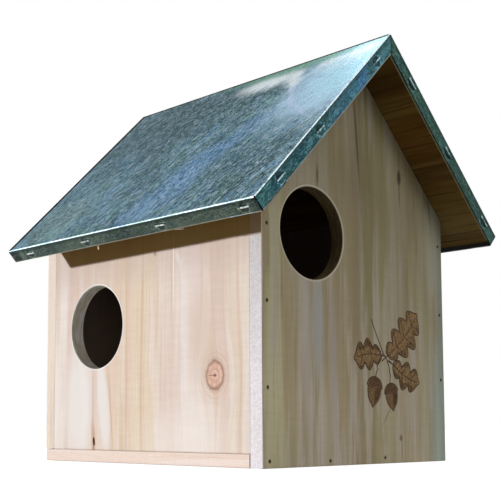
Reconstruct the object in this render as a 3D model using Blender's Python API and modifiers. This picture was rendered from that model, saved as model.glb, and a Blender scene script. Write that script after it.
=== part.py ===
"""Squirrel house: a gabled nest box of sawn boards under a folded galvanised sheet roof.

Metres. X runs across the front, -Y is the front, +Y the rear, and Z is up from the underside of the floor.
"""

import math

import bmesh
import bpy
from mathutils import Matrix, Vector

# Box
body_width = 0.220
body_depth = 0.266
side_height = 0.204
board_thickness = 0.012
floor_thickness = 0.010
joint_gap = 0.0003
edge_ease = 0.0006

# Entrance holes
front_hole_diameter = 0.070
front_hole_from_side = 0.055
front_hole_height = 0.173
side_hole_diameter = 0.070
side_hole_from_rear = 0.072
side_hole_height = 0.1125
hole_sides = 72

# Roof
roof_pitch = math.radians(45)
roof_board_thickness = 0.012
roof_board_width = 0.200
front_overhang = 0.033
rear_overhang = 0.002

# Galvanised sheet folded over the roof boards
sheet_thickness = 0.0005
sheet_gap = 0.0003
sheet_bend_radius = 0.0005
sheet_bend_steps = 4
wood_reveal = 0.0008
mitre_gap = 0.0005

# Staples that hold the sheet's flaps to the boards' edges
staple_crown = 0.011
staple_leg = 0.007
staple_wire_thickness = 0.0007
staple_wire_width = 0.0012
staple_clearance = 0.0003
eave_staple_shares = (0.045, 0.335, 0.642, 0.905)
left_rake_staple_shares = (0.148, 0.585, 0.860)
right_rake_staple_shares = (0.211, 0.544, 0.898)

# Clean-out door, flush in the right wall and hinged at its front edge
door_from_front = 0.063
door_from_rear = 0.063
door_sill_height = 0.035
door_opening_height = 0.120
door_gap = 0.0015
door_free_gap = 0.002
finger_notch_radius = 0.009
finger_notch_from_top = 0.028
notch_sides = 32

# Strip glued inside the wall, which the closed door rests on
stop_width = 0.022
stop_thickness = 0.010
stop_lap = 0.012
stop_overlong = 0.012

# Butt hinges, laid flat over the seam between the wall and the door
hinge_height = 0.025
hinge_inset = 0.022
leaf_width = 0.0115
leaf_thickness = 0.001
pin_radius = 0.001
pin_clearance = 0.0002
pin_head_radius = 0.0019
pin_head_height = 0.0008
knuckle_play = 0.0003
knuckle_count = 3
knuckle_steps = 24
hinge_screw_inset = 0.006

# Turn button that keeps the door shut
button_length = 0.040
button_width = 0.014
button_thickness = 0.0012
button_from_door = 0.012
washer_radius = 0.0045
washer_thickness = 0.0008

# Keyhole hanger plate, let into the rear panel high up so that its screws lie below the face
hanger_width = 0.044
hanger_height = 0.018
hanger_thickness = 0.0012
hanger_below_apex = 0.050
hanger_screw_spacing = 0.030
hanger_clearance = 0.0005
hanger_screw_sink = 0.0003
keyhole_radius = 0.004
keyhole_slot_width = 0.004
keyhole_rise = 0.006
keyhole_drop_share = 0.33
keyhole_pocket_depth = 0.006
keyhole_steps = 12

# Wood screws
screw_clearance = 0.0003
screw_steps = 16
pilot_sides = 8
slot_width = 0.0006
slot_depth_share = 0.5
hinge_screw = {
    "head_radius": 0.0023,
    "head_height": 0.0012,
    "shank_radius": 0.0012,
    "length": 0.009,
    "tip": 0.003,
}
button_screw = {
    "head_radius": 0.0034,
    "head_height": 0.0018,
    "shank_radius": 0.0016,
    "length": 0.011,
    "tip": 0.003,
}

# One overrun serves every cut, and points this close are one
overrun = 0.002
weld_distance = 0.000001

# Colours are linear red, green and blue
pale_pine = (0.72, 0.58, 0.46)
shaded_pine = (0.42, 0.33, 0.22)
roof_pine = (0.36, 0.24, 0.13)
galvanised = (0.33, 0.42, 0.46)
bright_zinc = (0.62, 0.64, 0.66)

# Places that follow from the sizes above
front_face = -body_depth / 2
rear_face = body_depth / 2
side_face = body_width / 2
wall_front_end = front_face + board_thickness + joint_gap
wall_rear_end = rear_face - board_thickness - joint_gap
apex_inside = side_height + side_face * math.tan(roof_pitch)
apex_boards = apex_inside + roof_board_thickness / math.cos(roof_pitch)
ridge_lap = roof_board_thickness / math.sin(2 * roof_pitch)
roof_front_end = front_face - front_overhang
roof_rear_end = rear_face + rear_overhang
slope_lengths = {-1: roof_board_width + ridge_lap, 1: roof_board_width}
flap_depth = roof_board_thickness - wood_reveal
knuckle_bore = pin_radius + pin_clearance
knuckle_radius = knuckle_bore + leaf_thickness
hinge_face = side_face + joint_gap
hinge_x = hinge_face + knuckle_radius
side_inner_face = side_face - board_thickness
door_opening_width = body_depth - door_from_front - door_from_rear
opening_front = front_face + door_from_front
opening_rear = opening_front + door_opening_width
opening_top = door_sill_height + door_opening_height
door_front = opening_front + door_gap
door_rear = opening_rear - door_free_gap
door_bottom = door_sill_height + door_gap
door_top = opening_top - door_gap
hinge_y = opening_front + door_gap / 2
hinge_places = (("lower", door_bottom + hinge_inset), ("upper", door_top - hinge_inset))
button_y = opening_rear + button_from_door
button_z = door_sill_height + door_opening_height / 2
button_back = side_face + joint_gap + washer_thickness + joint_gap
hanger_z = apex_inside - hanger_below_apex
hanger_stack = joint_gap + hanger_thickness + joint_gap + hinge_screw["head_height"]
hanger_recess = hanger_stack + hanger_screw_sink
hanger_back = rear_face - hanger_recess + joint_gap
keyhole_low = -keyhole_rise * keyhole_drop_share
keyhole_high = keyhole_low + keyhole_rise


def new_collection(name):
    collection = bpy.data.collections.new(name)
    bpy.context.scene.collection.children.link(collection)
    return collection


def finish(obj, colour, roughness, metallic):
    material = bpy.data.materials.new(obj.name + "_finish")
    material.use_nodes = True
    shader = material.node_tree.nodes["Principled BSDF"]
    shader.inputs["Base Color"].default_value = (*colour, 1)
    shader.inputs["Roughness"].default_value = roughness
    shader.inputs["Metallic"].default_value = metallic
    obj.data.materials.append(material)


def wood(obj, colour):
    finish(obj, colour, 0.75, 0)


def steel(obj, colour, roughness):
    finish(obj, colour, roughness, 1)


def add(obj, collection, parent=None):
    """Links the object and, with a parent, keeps its place in the world."""
    collection.objects.link(obj)
    if parent:
        obj.parent = parent
        obj.matrix_parent_inverse = Matrix.Translation(-parent.location)
    return obj


def add_cutter(obj, collection=None):
    obj.hide_render = True
    obj.display_type = "WIRE"
    return add(obj, collection or cutters)


def arc(centre, radius, start, end, steps):
    """Points on a circle from one angle to another, both ends included."""
    turns = [start + (end - start) * step / steps for step in range(steps + 1)]
    return [(centre[0] + radius * math.cos(turn), centre[1] + radius * math.sin(turn)) for turn in turns]


def extrusion(name, outlines, length):
    """A mesh object: flat outlines in local X and Y, the first the outside, drawn out along local Z."""
    curve = bpy.data.curves.new(name, "CURVE")
    curve.dimensions = "2D"
    curve.fill_mode = "BOTH"
    curve.extrude = length / 2
    for outline in outlines:
        spline = curve.splines.new("POLY")
        spline.points.add(len(outline) - 1)
        for point, (x, y) in zip(spline.points, outline):
            point.co = (x, y, 0, 1)
        spline.use_cyclic_u = True
    drawn = bpy.data.objects.new(name, curve)
    bpy.context.scene.collection.objects.link(drawn)
    bpy.context.view_layer.update()
    mesh = bpy.data.meshes.new_from_object(drawn.evaluated_get(bpy.context.evaluated_depsgraph_get()))
    bpy.data.objects.remove(drawn)
    bpy.data.curves.remove(curve)
    shape = bmesh.new()
    shape.from_mesh(mesh)
    bmesh.ops.remove_doubles(shape, verts=shape.verts, dist=weld_distance)
    bmesh.ops.dissolve_limit(shape, angle_limit=math.radians(1), verts=shape.verts, edges=shape.edges)
    bmesh.ops.recalc_face_normals(shape, faces=shape.faces)
    shape.to_mesh(mesh)
    shape.free()
    mesh.name = name
    return bpy.data.objects.new(name, mesh)


def board(name, outline, start, end):
    """A board with this outline across the house, in X and Z, that runs from one Y to another."""
    obj = extrusion(name, [outline], end - start)
    obj.rotation_euler.x = math.radians(90)
    obj.location.y = (start + end) / 2
    return obj


def rod(name, radius, sides, axis, start, end):
    """A round cutter from one point to another along a world axis."""
    shape = bmesh.new()
    length = (Vector(end) - Vector(start)).length
    bmesh.ops.create_cone(shape, cap_ends=True, segments=sides, radius1=radius, radius2=radius, depth=length)
    mesh = bpy.data.meshes.new(name)
    shape.to_mesh(mesh)
    shape.free()
    obj = bpy.data.objects.new(name, mesh)
    obj.location = (Vector(start) + Vector(end)) / 2
    obj.rotation_euler = {"X": (0, math.radians(90), 0), "Y": (math.radians(90), 0, 0), "Z": (0, 0, 0)}[axis]
    return obj


def box(name, low, high):
    shape = bmesh.new()
    bmesh.ops.create_cube(shape, size=1)
    size = Vector(high) - Vector(low)
    bmesh.ops.scale(shape, vec=size, verts=shape.verts)
    mesh = bpy.data.meshes.new(name)
    shape.to_mesh(mesh)
    shape.free()
    obj = bpy.data.objects.new(name, mesh)
    obj.location = (Vector(low) + Vector(high)) / 2
    return obj


def cut(obj, cutter):
    modifier = obj.modifiers.new(cutter.name, "BOOLEAN")
    modifier.operation = "DIFFERENCE"
    modifier.object = cutter


def cut_all(obj, collection):
    modifier = obj.modifiers.new(collection.name, "BOOLEAN")
    modifier.operation = "DIFFERENCE"
    modifier.operand_type = "COLLECTION"
    modifier.collection = collection


def ease_edges(obj):
    """Takes the sharpness off sawn edges, on the mesh as it stands."""
    modifier = obj.modifiers.new("eased_edges", "BEVEL")
    modifier.width = edge_ease
    modifier.segments = 1
    modifier.limit_method = "ANGLE"
    modifier.angle_limit = math.radians(30)


def turned(name, profile, steps):
    """A shape turned about local Z from (radius, height) points that run down its outer side."""
    mesh = bpy.data.meshes.new(name)
    mesh.from_pydata([(radius, 0, height) for radius, height in profile], [], [])
    mesh.edges.add(len(profile) - 1)
    for edge, start in zip(mesh.edges, range(len(profile) - 1)):
        edge.vertices = (start, start + 1)
    obj = bpy.data.objects.new(name, mesh)
    modifier = obj.modifiers.new("turned", "SCREW")
    modifier.steps = steps
    modifier.render_steps = steps
    modifier.use_merge_vertices = True
    modifier.merge_threshold = weld_distance
    modifier.use_smooth_shade = True
    return obj


def under_roof(x):
    """Height of the seat under the roof boards, a joint's gap below them."""
    return apex_inside - abs(x) * math.tan(roof_pitch) - joint_gap / math.cos(roof_pitch)


def on_slope(side, along, depth):
    """(x, z) on one slope: so far down it from the boards' outer apex, and so deep below their outer face."""
    across = along * math.cos(roof_pitch) - depth * math.sin(roof_pitch)
    down = along * math.sin(roof_pitch) + depth * math.cos(roof_pitch)
    return side * across, apex_boards - down


def gable_outline(bottom):
    return [
        (-side_face, bottom),
        (side_face, bottom),
        (side_face, under_roof(side_face)),
        (0, under_roof(0)),
        (-side_face, under_roof(side_face)),
    ]


def make_front_panel():
    panel = board("front_panel", gable_outline(0), front_face, front_face + board_thickness)
    x = front_hole_from_side - side_face
    start = (x, front_face - overrun, front_hole_height)
    end = (x, front_face + board_thickness + overrun, front_hole_height)
    hole = add_cutter(rod("front_hole_cutter", front_hole_diameter / 2, hole_sides, "Y", start, end))
    cut(panel, hole)
    ease_edges(panel)
    wood(panel, shaded_pine)
    add(panel, house)


def wall_outline(side):
    inside = side_face - board_thickness
    bottom = floor_thickness + joint_gap
    return [
        (side * side_face, bottom),
        (side * inside, bottom),
        (side * inside, under_roof(inside)),
        (side * side_face, under_roof(side_face)),
    ]


def make_left_wall():
    wall = board("left_wall", wall_outline(-1), wall_front_end, wall_rear_end)
    y = rear_face - side_hole_from_rear
    start = (-side_face - overrun, y, side_hole_height)
    end = (-side_face + board_thickness + overrun, y, side_hole_height)
    hole = add_cutter(rod("side_hole_cutter", side_hole_diameter / 2, hole_sides, "X", start, end))
    cut(wall, hole)
    ease_edges(wall)
    wood(wall, pale_pine)
    add(wall, house)


def make_right_wall():
    wall = board("right_wall", wall_outline(1), wall_front_end, wall_rear_end)
    low = (side_inner_face - overrun, opening_front, door_sill_height)
    high = (side_face + overrun, opening_rear, opening_top)
    cut(wall, add_cutter(box("door_opening_cutter", low, high)))
    ease_edges(wall)
    cut_hinge_pilots(wall, -1)
    cut(wall, pilot_hole("button", button_seat(), "X", button_screw))
    wood(wall, pale_pine)
    add(wall, house)


def make_floor_board():
    outline = [(-side_face, 0), (side_face, 0), (side_face, floor_thickness), (-side_face, floor_thickness)]
    floor = board("floor_board", outline, wall_front_end, rear_face)
    ease_edges(floor)
    wood(floor, pale_pine)
    add(floor, house)


def make_rear_panel():
    bottom = floor_thickness + joint_gap
    panel = board("rear_panel", gable_outline(bottom), rear_face - board_thickness, rear_face)
    ease_edges(panel)
    ends = ((0, keyhole_low), (0, keyhole_high))
    recess = extrusion("hanger_recess", [hanger_outline(hanger_clearance)], 2 * hanger_recess)
    pocket = extrusion("keyhole_pocket", [obround(ends, keyhole_radius)], 2 * keyhole_pocket_depth)
    for hollow in (recess, pocket):
        hollow.rotation_euler.x = math.radians(90)
        hollow.location = (0, rear_face, hanger_z)
        cut(panel, add_cutter(hollow))
    for side in (-1, 1):
        cut(panel, pilot_hole("hanger", hanger_seat(side), "Y", hinge_screw))
    wood(panel, pale_pine)
    add(panel, house)


def right_roof_outline():
    """It laps over the left board's upper edge, and its own upper edge ends flush with the left slope."""
    length = slope_lengths[1]
    return [
        on_slope(1, 0, 0),
        on_slope(1, length, 0),
        on_slope(1, length, roof_board_thickness),
        on_slope(-1, ridge_lap, 0),
    ]


def left_roof_outline():
    start = ridge_lap + joint_gap / math.sin(2 * roof_pitch)
    top = on_slope(-1, start, 0)
    length = slope_lengths[-1]
    seat = (top[0] + ridge_lap * math.cos(roof_pitch), top[1] - ridge_lap * math.sin(roof_pitch))
    return [
        top,
        on_slope(-1, length, 0),
        on_slope(-1, length, roof_board_thickness),
        seat,
    ]


def make_roof_board(name, outline):
    roof = board(name, outline, roof_front_end, roof_rear_end)
    ease_edges(roof)
    cut_all(roof, staple_pockets)
    wood(roof, roof_pine)
    add(roof, house)


def sheet_profile():
    """The sheet's inner face across the house, from the left flap's lower edge to the right one's.

    It gives the points and, for each side, the pair of them that ends the flat slope.
    """
    radius = sheet_bend_radius
    height = radius - sheet_gap
    points = []
    slope_ends = {}
    ridge_start = height * math.tan(roof_pitch)
    for side in (-1, 1):
        eave_start = slope_lengths[side] + sheet_gap - radius
        half = [on_slope(side, eave_start + radius, flap_depth)]
        for step in range(sheet_bend_steps + 1):
            turn = math.radians(90) * (1 - step / sheet_bend_steps)
            along = eave_start + radius * math.sin(turn)
            half.append(on_slope(side, along, height - radius * math.cos(turn)))
        ridge = on_slope(side, ridge_start, -sheet_gap)
        half.append(ridge)
        slope_ends[side] = (half[-2], ridge)
        if side < 0:
            centre = on_slope(side, ridge_start, height)
            upright = math.radians(90)
            bend = arc(centre, radius, upright + roof_pitch, upright - roof_pitch, 2 * sheet_bend_steps)
            points = half + bend[1:-1]
        else:
            points += reversed(half)
    return points, slope_ends


def fold_rake_flap(shape, side, end, edge, edge_y):
    """Folds one gable-end flap down off a slope's edge: round the bend in steps, and then straight down."""
    radius = sheet_bend_radius
    height = radius - sheet_gap
    rows = [math.radians(90) * (step + 1) / sheet_bend_steps for step in range(sheet_bend_steps)]
    places = [(edge_y + end * radius * math.sin(turn), height - radius * math.cos(turn)) for turn in rows]
    places.append((edge_y + end * radius, flap_depth))
    eave_along = slope_lengths[side] + sheet_gap - radius
    for y, depth in places:
        ridge_along = max(height, depth) * math.tan(roof_pitch) + mitre_gap / 2 / math.cos(roof_pitch)
        made = bmesh.ops.extrude_edge_only(shape, edges=[edge])["geom"]
        edge = next(piece for piece in made if isinstance(piece, bmesh.types.BMEdge))
        ridge_end, eave_end = sorted(edge.verts, key=lambda corner: -corner.co.z)
        for corner, along in ((ridge_end, ridge_along), (eave_end, eave_along)):
            x, z = on_slope(side, along, depth)
            corner.co = (x, y, z)


def make_roof_sheet():
    """One sheet folded over the ridge, with its flaps bent down at both eaves and both gable ends."""
    points, slope_ends = sheet_profile()
    front_edge = roof_front_end - sheet_gap + sheet_bend_radius
    rear_edge = roof_rear_end + sheet_gap - sheet_bend_radius
    shape = bmesh.new()
    corners = [shape.verts.new((x, front_edge, z)) for x, z in points]
    edges = [shape.edges.new(pair) for pair in zip(corners, corners[1:])]
    made = bmesh.ops.extrude_edge_only(shape, edges=edges)["geom"]
    moved = [piece for piece in made if isinstance(piece, bmesh.types.BMVert)]
    bmesh.ops.translate(shape, vec=(0, rear_edge - front_edge, 0), verts=moved)
    for side, ends in slope_ends.items():
        middle_x = sum(x for x, z in ends) / 2
        for end, edge_y in ((-1, front_edge), (1, rear_edge)):
            middle = Vector((middle_x, edge_y, sum(z for x, z in ends) / 2))
            edge = min(shape.edges, key=lambda e: ((e.verts[0].co + e.verts[1].co) / 2 - middle).length)
            fold_rake_flap(shape, side, end, edge, edge_y)
    bmesh.ops.recalc_face_normals(shape, faces=shape.faces)
    if max(shape.faces, key=lambda face: face.calc_area()).normal.z < 0:
        bmesh.ops.reverse_faces(shape, faces=shape.faces)
    mesh = bpy.data.meshes.new("roof_sheet")
    shape.to_mesh(mesh)
    shape.free()
    sheet = bpy.data.objects.new("roof_sheet", mesh)
    modifier = sheet.modifiers.new("sheet_thickness", "SOLIDIFY")
    modifier.thickness = sheet_thickness
    modifier.offset = 1
    modifier.use_even_offset = True
    cut_all(sheet, staple_pockets)
    steel(sheet, galvanised, 0.35)
    add(sheet, house)


def staple_outline():
    """A bent wire seen from its side: local Y is out of the wood, and the crown's underside lies at zero."""
    half = staple_crown / 2
    wire = staple_wire_thickness
    right = arc((half - wire, 0), wire, 0, math.radians(90), 3)
    left = arc((wire - half, 0), wire, math.radians(90), math.radians(180), 3)
    shoulder = -staple_leg + wire
    return (
        [(half - wire, -staple_leg), (half, shoulder)]
        + right
        + left
        + [(-half, shoulder), (wire - half, -staple_leg), (wire - half, 0), (half - wire, 0)]
    )


def place_staple(name, place, along, out):
    """One staple, its crown along one direction and its legs against the other, and its two pockets."""
    frame = Matrix((along, out, along.cross(out))).transposed().to_4x4()
    staple = bpy.data.objects.new(name, staple_mesh)
    staple.matrix_world = Matrix.Translation(place) @ frame
    add(staple, house)
    pocket = bpy.data.objects.new(name + "_pocket", pocket_mesh)
    pocket.matrix_world = staple.matrix_world
    add_cutter(pocket, staple_pockets)


def make_staple_meshes():
    staple = extrusion("staple", [staple_outline()], staple_wire_width)
    steel(staple, bright_zinc, 0.4)
    shape = bmesh.new()
    leg = staple_wire_thickness + 2 * staple_clearance
    tall = staple_leg + staple_clearance + staple_wire_thickness
    size = (leg, tall, staple_wire_width + 2 * staple_clearance)
    for side in (-1, 1):
        centre = (side * (staple_crown - staple_wire_thickness) / 2, staple_wire_thickness - tall / 2, 0)
        placed = Matrix.Translation(centre) @ Matrix.Diagonal((*size, 1))
        bmesh.ops.create_cube(shape, size=1, matrix=placed)
    mesh = bpy.data.meshes.new("staple_pocket")
    shape.to_mesh(mesh)
    shape.free()
    return staple.data, mesh


def make_staples():
    seat = sheet_gap + sheet_thickness + staple_clearance
    middle = (flap_depth - sheet_gap - sheet_thickness) / 2
    run = roof_rear_end - roof_front_end
    along_y = Vector((0, 1, 0))
    names = {-1: "left", 1: "right"}
    rake_shares = {-1: left_rake_staple_shares, 1: right_rake_staple_shares}
    for side, name in names.items():
        length = slope_lengths[side]
        down = Vector((side * math.cos(roof_pitch), 0, -math.sin(roof_pitch)))
        for number, share in enumerate(eave_staple_shares, 1):
            x, z = on_slope(side, length + seat, middle)
            place = Vector((x, roof_front_end + share * run, z))
            place_staple(f"{name}_eave_staple_{number}", place, along_y, down)
        for end, end_name, end_y in ((-1, "front", roof_front_end), (1, "rear", roof_rear_end)):
            for number, share in enumerate(rake_shares[side], 1):
                x, z = on_slope(side, share * length, middle)
                place = Vector((x, end_y + end * seat, z))
                place_staple(f"{end_name}_{name}_rake_staple_{number}", place, down, end * along_y)


def leaf_screw_seats(height, side):
    """Where the heads of one leaf's two screws rest: side -1 is the wall's leaf and 1 the door's."""
    reach = hinge_height / 2 - hinge_screw_inset
    x = hinge_face + leaf_thickness + joint_gap
    y = hinge_y + side * (knuckle_radius + knuckle_play + leaf_width) / 2
    return [(x, y, height - reach), (x, y, height + reach)]


def cut_hinge_pilots(obj, side):
    for hinge, height in hinge_places:
        for seat in leaf_screw_seats(height, side):
            cut(obj, pilot_hole(hinge, seat, "X", hinge_screw))


def button_seat():
    return button_back + button_thickness + joint_gap, button_y, button_z


def hanger_seat(side):
    return side * hanger_screw_spacing / 2, hanger_back + hanger_thickness + joint_gap, hanger_z


def screw_profile(size):
    """Round head, straight shank and point, from the top down, with the head's underside at zero."""
    head = size["head_radius"]
    rise = size["head_height"]
    shank = size["shank_radius"]
    turns = [math.radians(30 * step) for step in range(4)]
    dome = [(head * math.sin(turn), rise * math.cos(turn)) for turn in turns]
    return dome + [(shank, 0), (shank, size["tip"] - size["length"]), (0, -size["length"])]


def make_screw(name, place, axis, size, parent=None):
    """A screw whose head's underside is at this place and whose point runs in against the axis."""
    screw = turned(name, screw_profile(size), screw_steps)
    screw.location = place
    screw.rotation_euler = {"X": (0, math.radians(90), 0), "Y": (math.radians(-90), 0, 0)}[axis]
    rise = size["head_height"]
    reach = size["head_radius"] + overrun
    low = (-reach, -slot_width / 2, rise * (1 - slot_depth_share))
    slot = box(name + "_slot", low, (reach, slot_width / 2, rise + overrun))
    slot.matrix_world = screw.matrix_basis @ Matrix.Translation(slot.location)
    cut(screw, add_cutter(slot))
    steel(screw, bright_zinc, 0.35)
    add(screw, house, parent)


def pilot_hole(owner, place, axis, size):
    """The hole that a screw placed there needs, as a cutter along the same axis."""
    direction = {"X": Vector((1, 0, 0)), "Y": Vector((0, 1, 0))}[axis]
    start = Vector(place) - direction * (size["length"] + screw_clearance)
    end = Vector(place) + direction * overrun
    radius = size["shank_radius"] + screw_clearance
    return add_cutter(rod(owner + "_pilot_cutter", radius, pilot_sides, axis, start, end))


def leaf_outline():
    """A leaf in plan, with its rolled knuckle. Local X is away from the pin, Y out from the wood."""
    tangent = math.asin((leaf_thickness - knuckle_radius) / knuckle_radius)
    roll = arc((0, knuckle_radius), knuckle_radius, math.radians(270), tangent, knuckle_steps)
    bore = arc((0, knuckle_radius), knuckle_bore, 0, math.radians(360), knuckle_steps)
    return [[(leaf_width, leaf_thickness), (leaf_width, 0)] + roll, bore[:-1]]


def make_leaf(name, height, side, parent=None):
    """One leaf: side -1 lies on the wall and has the end knuckles, 1 lies on the door with the middle one."""
    leaf = extrusion(name, leaf_outline(), hinge_height)
    turn = Matrix(((0, 1, 0), (side, 0, 0), (0, 0, 1))).to_4x4()
    leaf.data.transform(turn)
    if side > 0:
        leaf.data.flip_normals()
    leaf.location = (hinge_face, hinge_y, height)
    knuckle = hinge_height / knuckle_count
    clear = knuckle_radius + knuckle_play
    for number in range(knuckle_count):
        if (number % 2 == 0) == (side < 0):
            continue
        bottom = height - hinge_height / 2 + number * knuckle
        low = (hinge_face - overrun, hinge_y - clear, bottom - knuckle_play / 2)
        high = (hinge_x + knuckle_radius + overrun, hinge_y + clear, bottom + knuckle + knuckle_play / 2)
        cut(leaf, add_cutter(box(f"{name}_notch_{number}", low, high)))
    radius = hinge_screw["shank_radius"] + screw_clearance
    seats = leaf_screw_seats(height, side)
    for x, y, z in seats:
        start = (hinge_face - overrun, y, z)
        cut(leaf, add_cutter(rod(f"{name}_hole", radius, screw_steps, "X", start, (x + overrun, y, z))))
    steel(leaf, bright_zinc, 0.35)
    add(leaf, house, parent)
    for number, seat in enumerate(seats, 1):
        make_screw(f"{name}_screw_{number}", seat, "X", hinge_screw, parent)


def make_pin(name, height):
    """A pin with a peened head at each end, just clear of the end knuckles."""
    head = hinge_height / 2 + knuckle_play
    end = head + pin_head_height
    rim = head + pin_head_height / 2
    profile = [(0, end), (pin_head_radius, rim), (pin_head_radius, head), (pin_radius, head)]
    profile += [(radius, -z) for radius, z in reversed(profile)]
    pin = turned(name, profile, knuckle_steps)
    pin.location = (hinge_x, hinge_y, height)
    steel(pin, bright_zinc, 0.3)
    add(pin, house)


def make_hinges(door_axis):
    for hinge, height in hinge_places:
        make_leaf(f"{hinge}_hinge_wall_leaf", height, -1)
        make_leaf(f"{hinge}_hinge_door_leaf", height, 1, door_axis)
        make_pin(f"{hinge}_hinge_pin", height)


def make_door(door_axis):
    low = (side_inner_face, door_front, door_bottom)
    high = (side_face, door_rear, door_top)
    door = box("clean_out_door", low, high)
    notch_z = door_top - finger_notch_from_top
    start = (side_inner_face - overrun, door_rear, notch_z)
    end = (side_face + overrun, door_rear, notch_z)
    cut(door, add_cutter(rod("finger_notch_cutter", finger_notch_radius, notch_sides, "X", start, end)))
    ease_edges(door)
    cut_hinge_pilots(door, 1)
    wood(door, pale_pine)
    add(door, house, door_axis)


def make_stop_strip():
    """It overlaps the opening along the door's free edge."""
    high_x = side_inner_face - joint_gap
    low_y = opening_rear - stop_lap
    low = (high_x - stop_thickness, low_y, door_sill_height - stop_overlong)
    high = (high_x, low_y + stop_width, opening_top + stop_overlong)
    strip = box("door_stop_strip", low, high)
    ease_edges(strip)
    wood(strip, pale_pine)
    add(strip, house)


def obround(ends, radius):
    """A slot's outline round two points, the lower one first."""
    half = math.radians(180)
    return arc(ends[0], radius, half, 2 * half, keyhole_steps) + arc(ends[1], radius, 0, half, keyhole_steps)


def make_turn_button():
    """A flat bar with round ends, upright when the door is free, which turns across the door's free edge."""
    radius = button_width / 2
    reach = button_length / 2 - radius
    quarter = math.radians(90)
    inner = button_screw["shank_radius"] + screw_clearance
    bore = arc((0, 0), inner, 0, 4 * quarter, knuckle_steps)
    outlines = [obround(((0, -reach), (0, reach)), radius), bore[:-1]]
    button = extrusion("turn_button", outlines, button_thickness)
    button.rotation_euler = (quarter, 0, quarter)
    button.location = (button_back + button_thickness / 2, button_y, button_z)
    steel(button, bright_zinc, 0.35)
    add(button, house)
    rise = washer_thickness
    ring = [(inner, 0), (inner, rise), (washer_radius, rise), (washer_radius, 0), (inner, 0)]
    washer = turned("turn_button_washer", ring, knuckle_steps)
    washer.rotation_euler.y = quarter
    washer.location = (side_face + joint_gap, button_y, button_z)
    steel(washer, bright_zinc, 0.35)
    add(washer, house)
    make_screw("turn_button_screw", button_seat(), "X", button_screw)


def keyhole_outline():
    """A round hole for a nail's head, with a slot for its shank that rises from it."""
    half_slot = keyhole_slot_width / 2
    lean = math.asin(half_slot / keyhole_radius)
    upright = math.radians(90)
    hole = arc((0, keyhole_low), keyhole_radius, upright + lean, 5 * upright - lean, 2 * keyhole_steps)
    return hole + arc((0, keyhole_high), half_slot, 0, 2 * upright, keyhole_steps)


def hanger_outline(grown):
    """The plate's outline with its round ends, grown this much all round."""
    radius = hanger_height / 2 + grown
    reach = (hanger_width - hanger_height) / 2
    quarter = math.radians(90)
    right = arc((reach, 0), radius, -quarter, quarter, keyhole_steps)
    return right + arc((-reach, 0), radius, quarter, 3 * quarter, keyhole_steps)


def make_hanger():
    quarter = math.radians(90)
    outlines = [hanger_outline(0), keyhole_outline()]
    for side in (-1, 1):
        centre = (side * hanger_screw_spacing / 2, 0)
        hole = arc(centre, hinge_screw["shank_radius"] + screw_clearance, 0, 4 * quarter, screw_steps)
        outlines.append(hole[:-1])
    plate = extrusion("hanger_plate", outlines, hanger_thickness)
    plate.rotation_euler.x = quarter
    plate.location = (0, hanger_back + hanger_thickness / 2, hanger_z)
    steel(plate, bright_zinc, 0.35)
    add(plate, house)
    for number, side in enumerate((-1, 1), 1):
        make_screw(f"hanger_plate_screw_{number}", hanger_seat(side), "Y", hinge_screw)


for old in list(bpy.data.objects):
    bpy.data.objects.remove(old, do_unlink=True)

house = new_collection("squirrel_house")
cutters = new_collection("cutters")
staple_pockets = new_collection("staple_pockets")

make_front_panel()
make_left_wall()
make_right_wall()
make_floor_board()
make_rear_panel()

staple_mesh, pocket_mesh = make_staple_meshes()
make_staples()
make_roof_board("right_roof_board", right_roof_outline())
make_roof_board("left_roof_board", left_roof_outline())
make_roof_sheet()

door_axis = add(bpy.data.objects.new("door_axis", None), house)
door_axis.location = (hinge_x, hinge_y, (door_bottom + door_top) / 2)
make_door(door_axis)
make_hinges(door_axis)
make_stop_strip()
make_turn_button()
make_hanger()
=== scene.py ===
"""Looks of the squirrel house: sawn pine, a folded galvanised sheet, zinc hardware and a burned drawing.

Metres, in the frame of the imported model: X across the front, -Y the front, Z up from the floor's underside.
Tones of three values are everyday colours from 0 to 255, and turns in the tables are degrees.
"""

import math

import bpy
from mathutils import Matrix, Vector, noise


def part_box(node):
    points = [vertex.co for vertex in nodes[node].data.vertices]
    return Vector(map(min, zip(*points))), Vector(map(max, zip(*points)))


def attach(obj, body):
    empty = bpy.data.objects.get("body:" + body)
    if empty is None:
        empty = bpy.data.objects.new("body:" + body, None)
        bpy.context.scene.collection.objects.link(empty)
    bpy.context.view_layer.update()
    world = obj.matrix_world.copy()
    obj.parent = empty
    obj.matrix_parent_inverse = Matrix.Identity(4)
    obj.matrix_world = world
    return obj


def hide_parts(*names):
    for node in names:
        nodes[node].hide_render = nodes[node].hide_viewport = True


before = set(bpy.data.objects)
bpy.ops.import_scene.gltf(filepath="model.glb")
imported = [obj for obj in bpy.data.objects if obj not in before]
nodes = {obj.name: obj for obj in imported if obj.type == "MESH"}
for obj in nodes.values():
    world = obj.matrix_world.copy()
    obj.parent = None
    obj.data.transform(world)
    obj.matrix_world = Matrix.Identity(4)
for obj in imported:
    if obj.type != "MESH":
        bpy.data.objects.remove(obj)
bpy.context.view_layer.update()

# The photograph's camera: its place, where it points and how its frame is cropped
camera_place = (-0.6329, -0.6450, 0.0313)
camera_yaw = math.radians(43.467)
camera_pitch = math.radians(5.351)
camera_roll = math.radians(-0.159)
camera_near = 0.05
picture_width = 500
focal_length_pixels = 1043.4
sight_line_pixel = (222.9, 326.2)
sensor_width = 36

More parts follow.
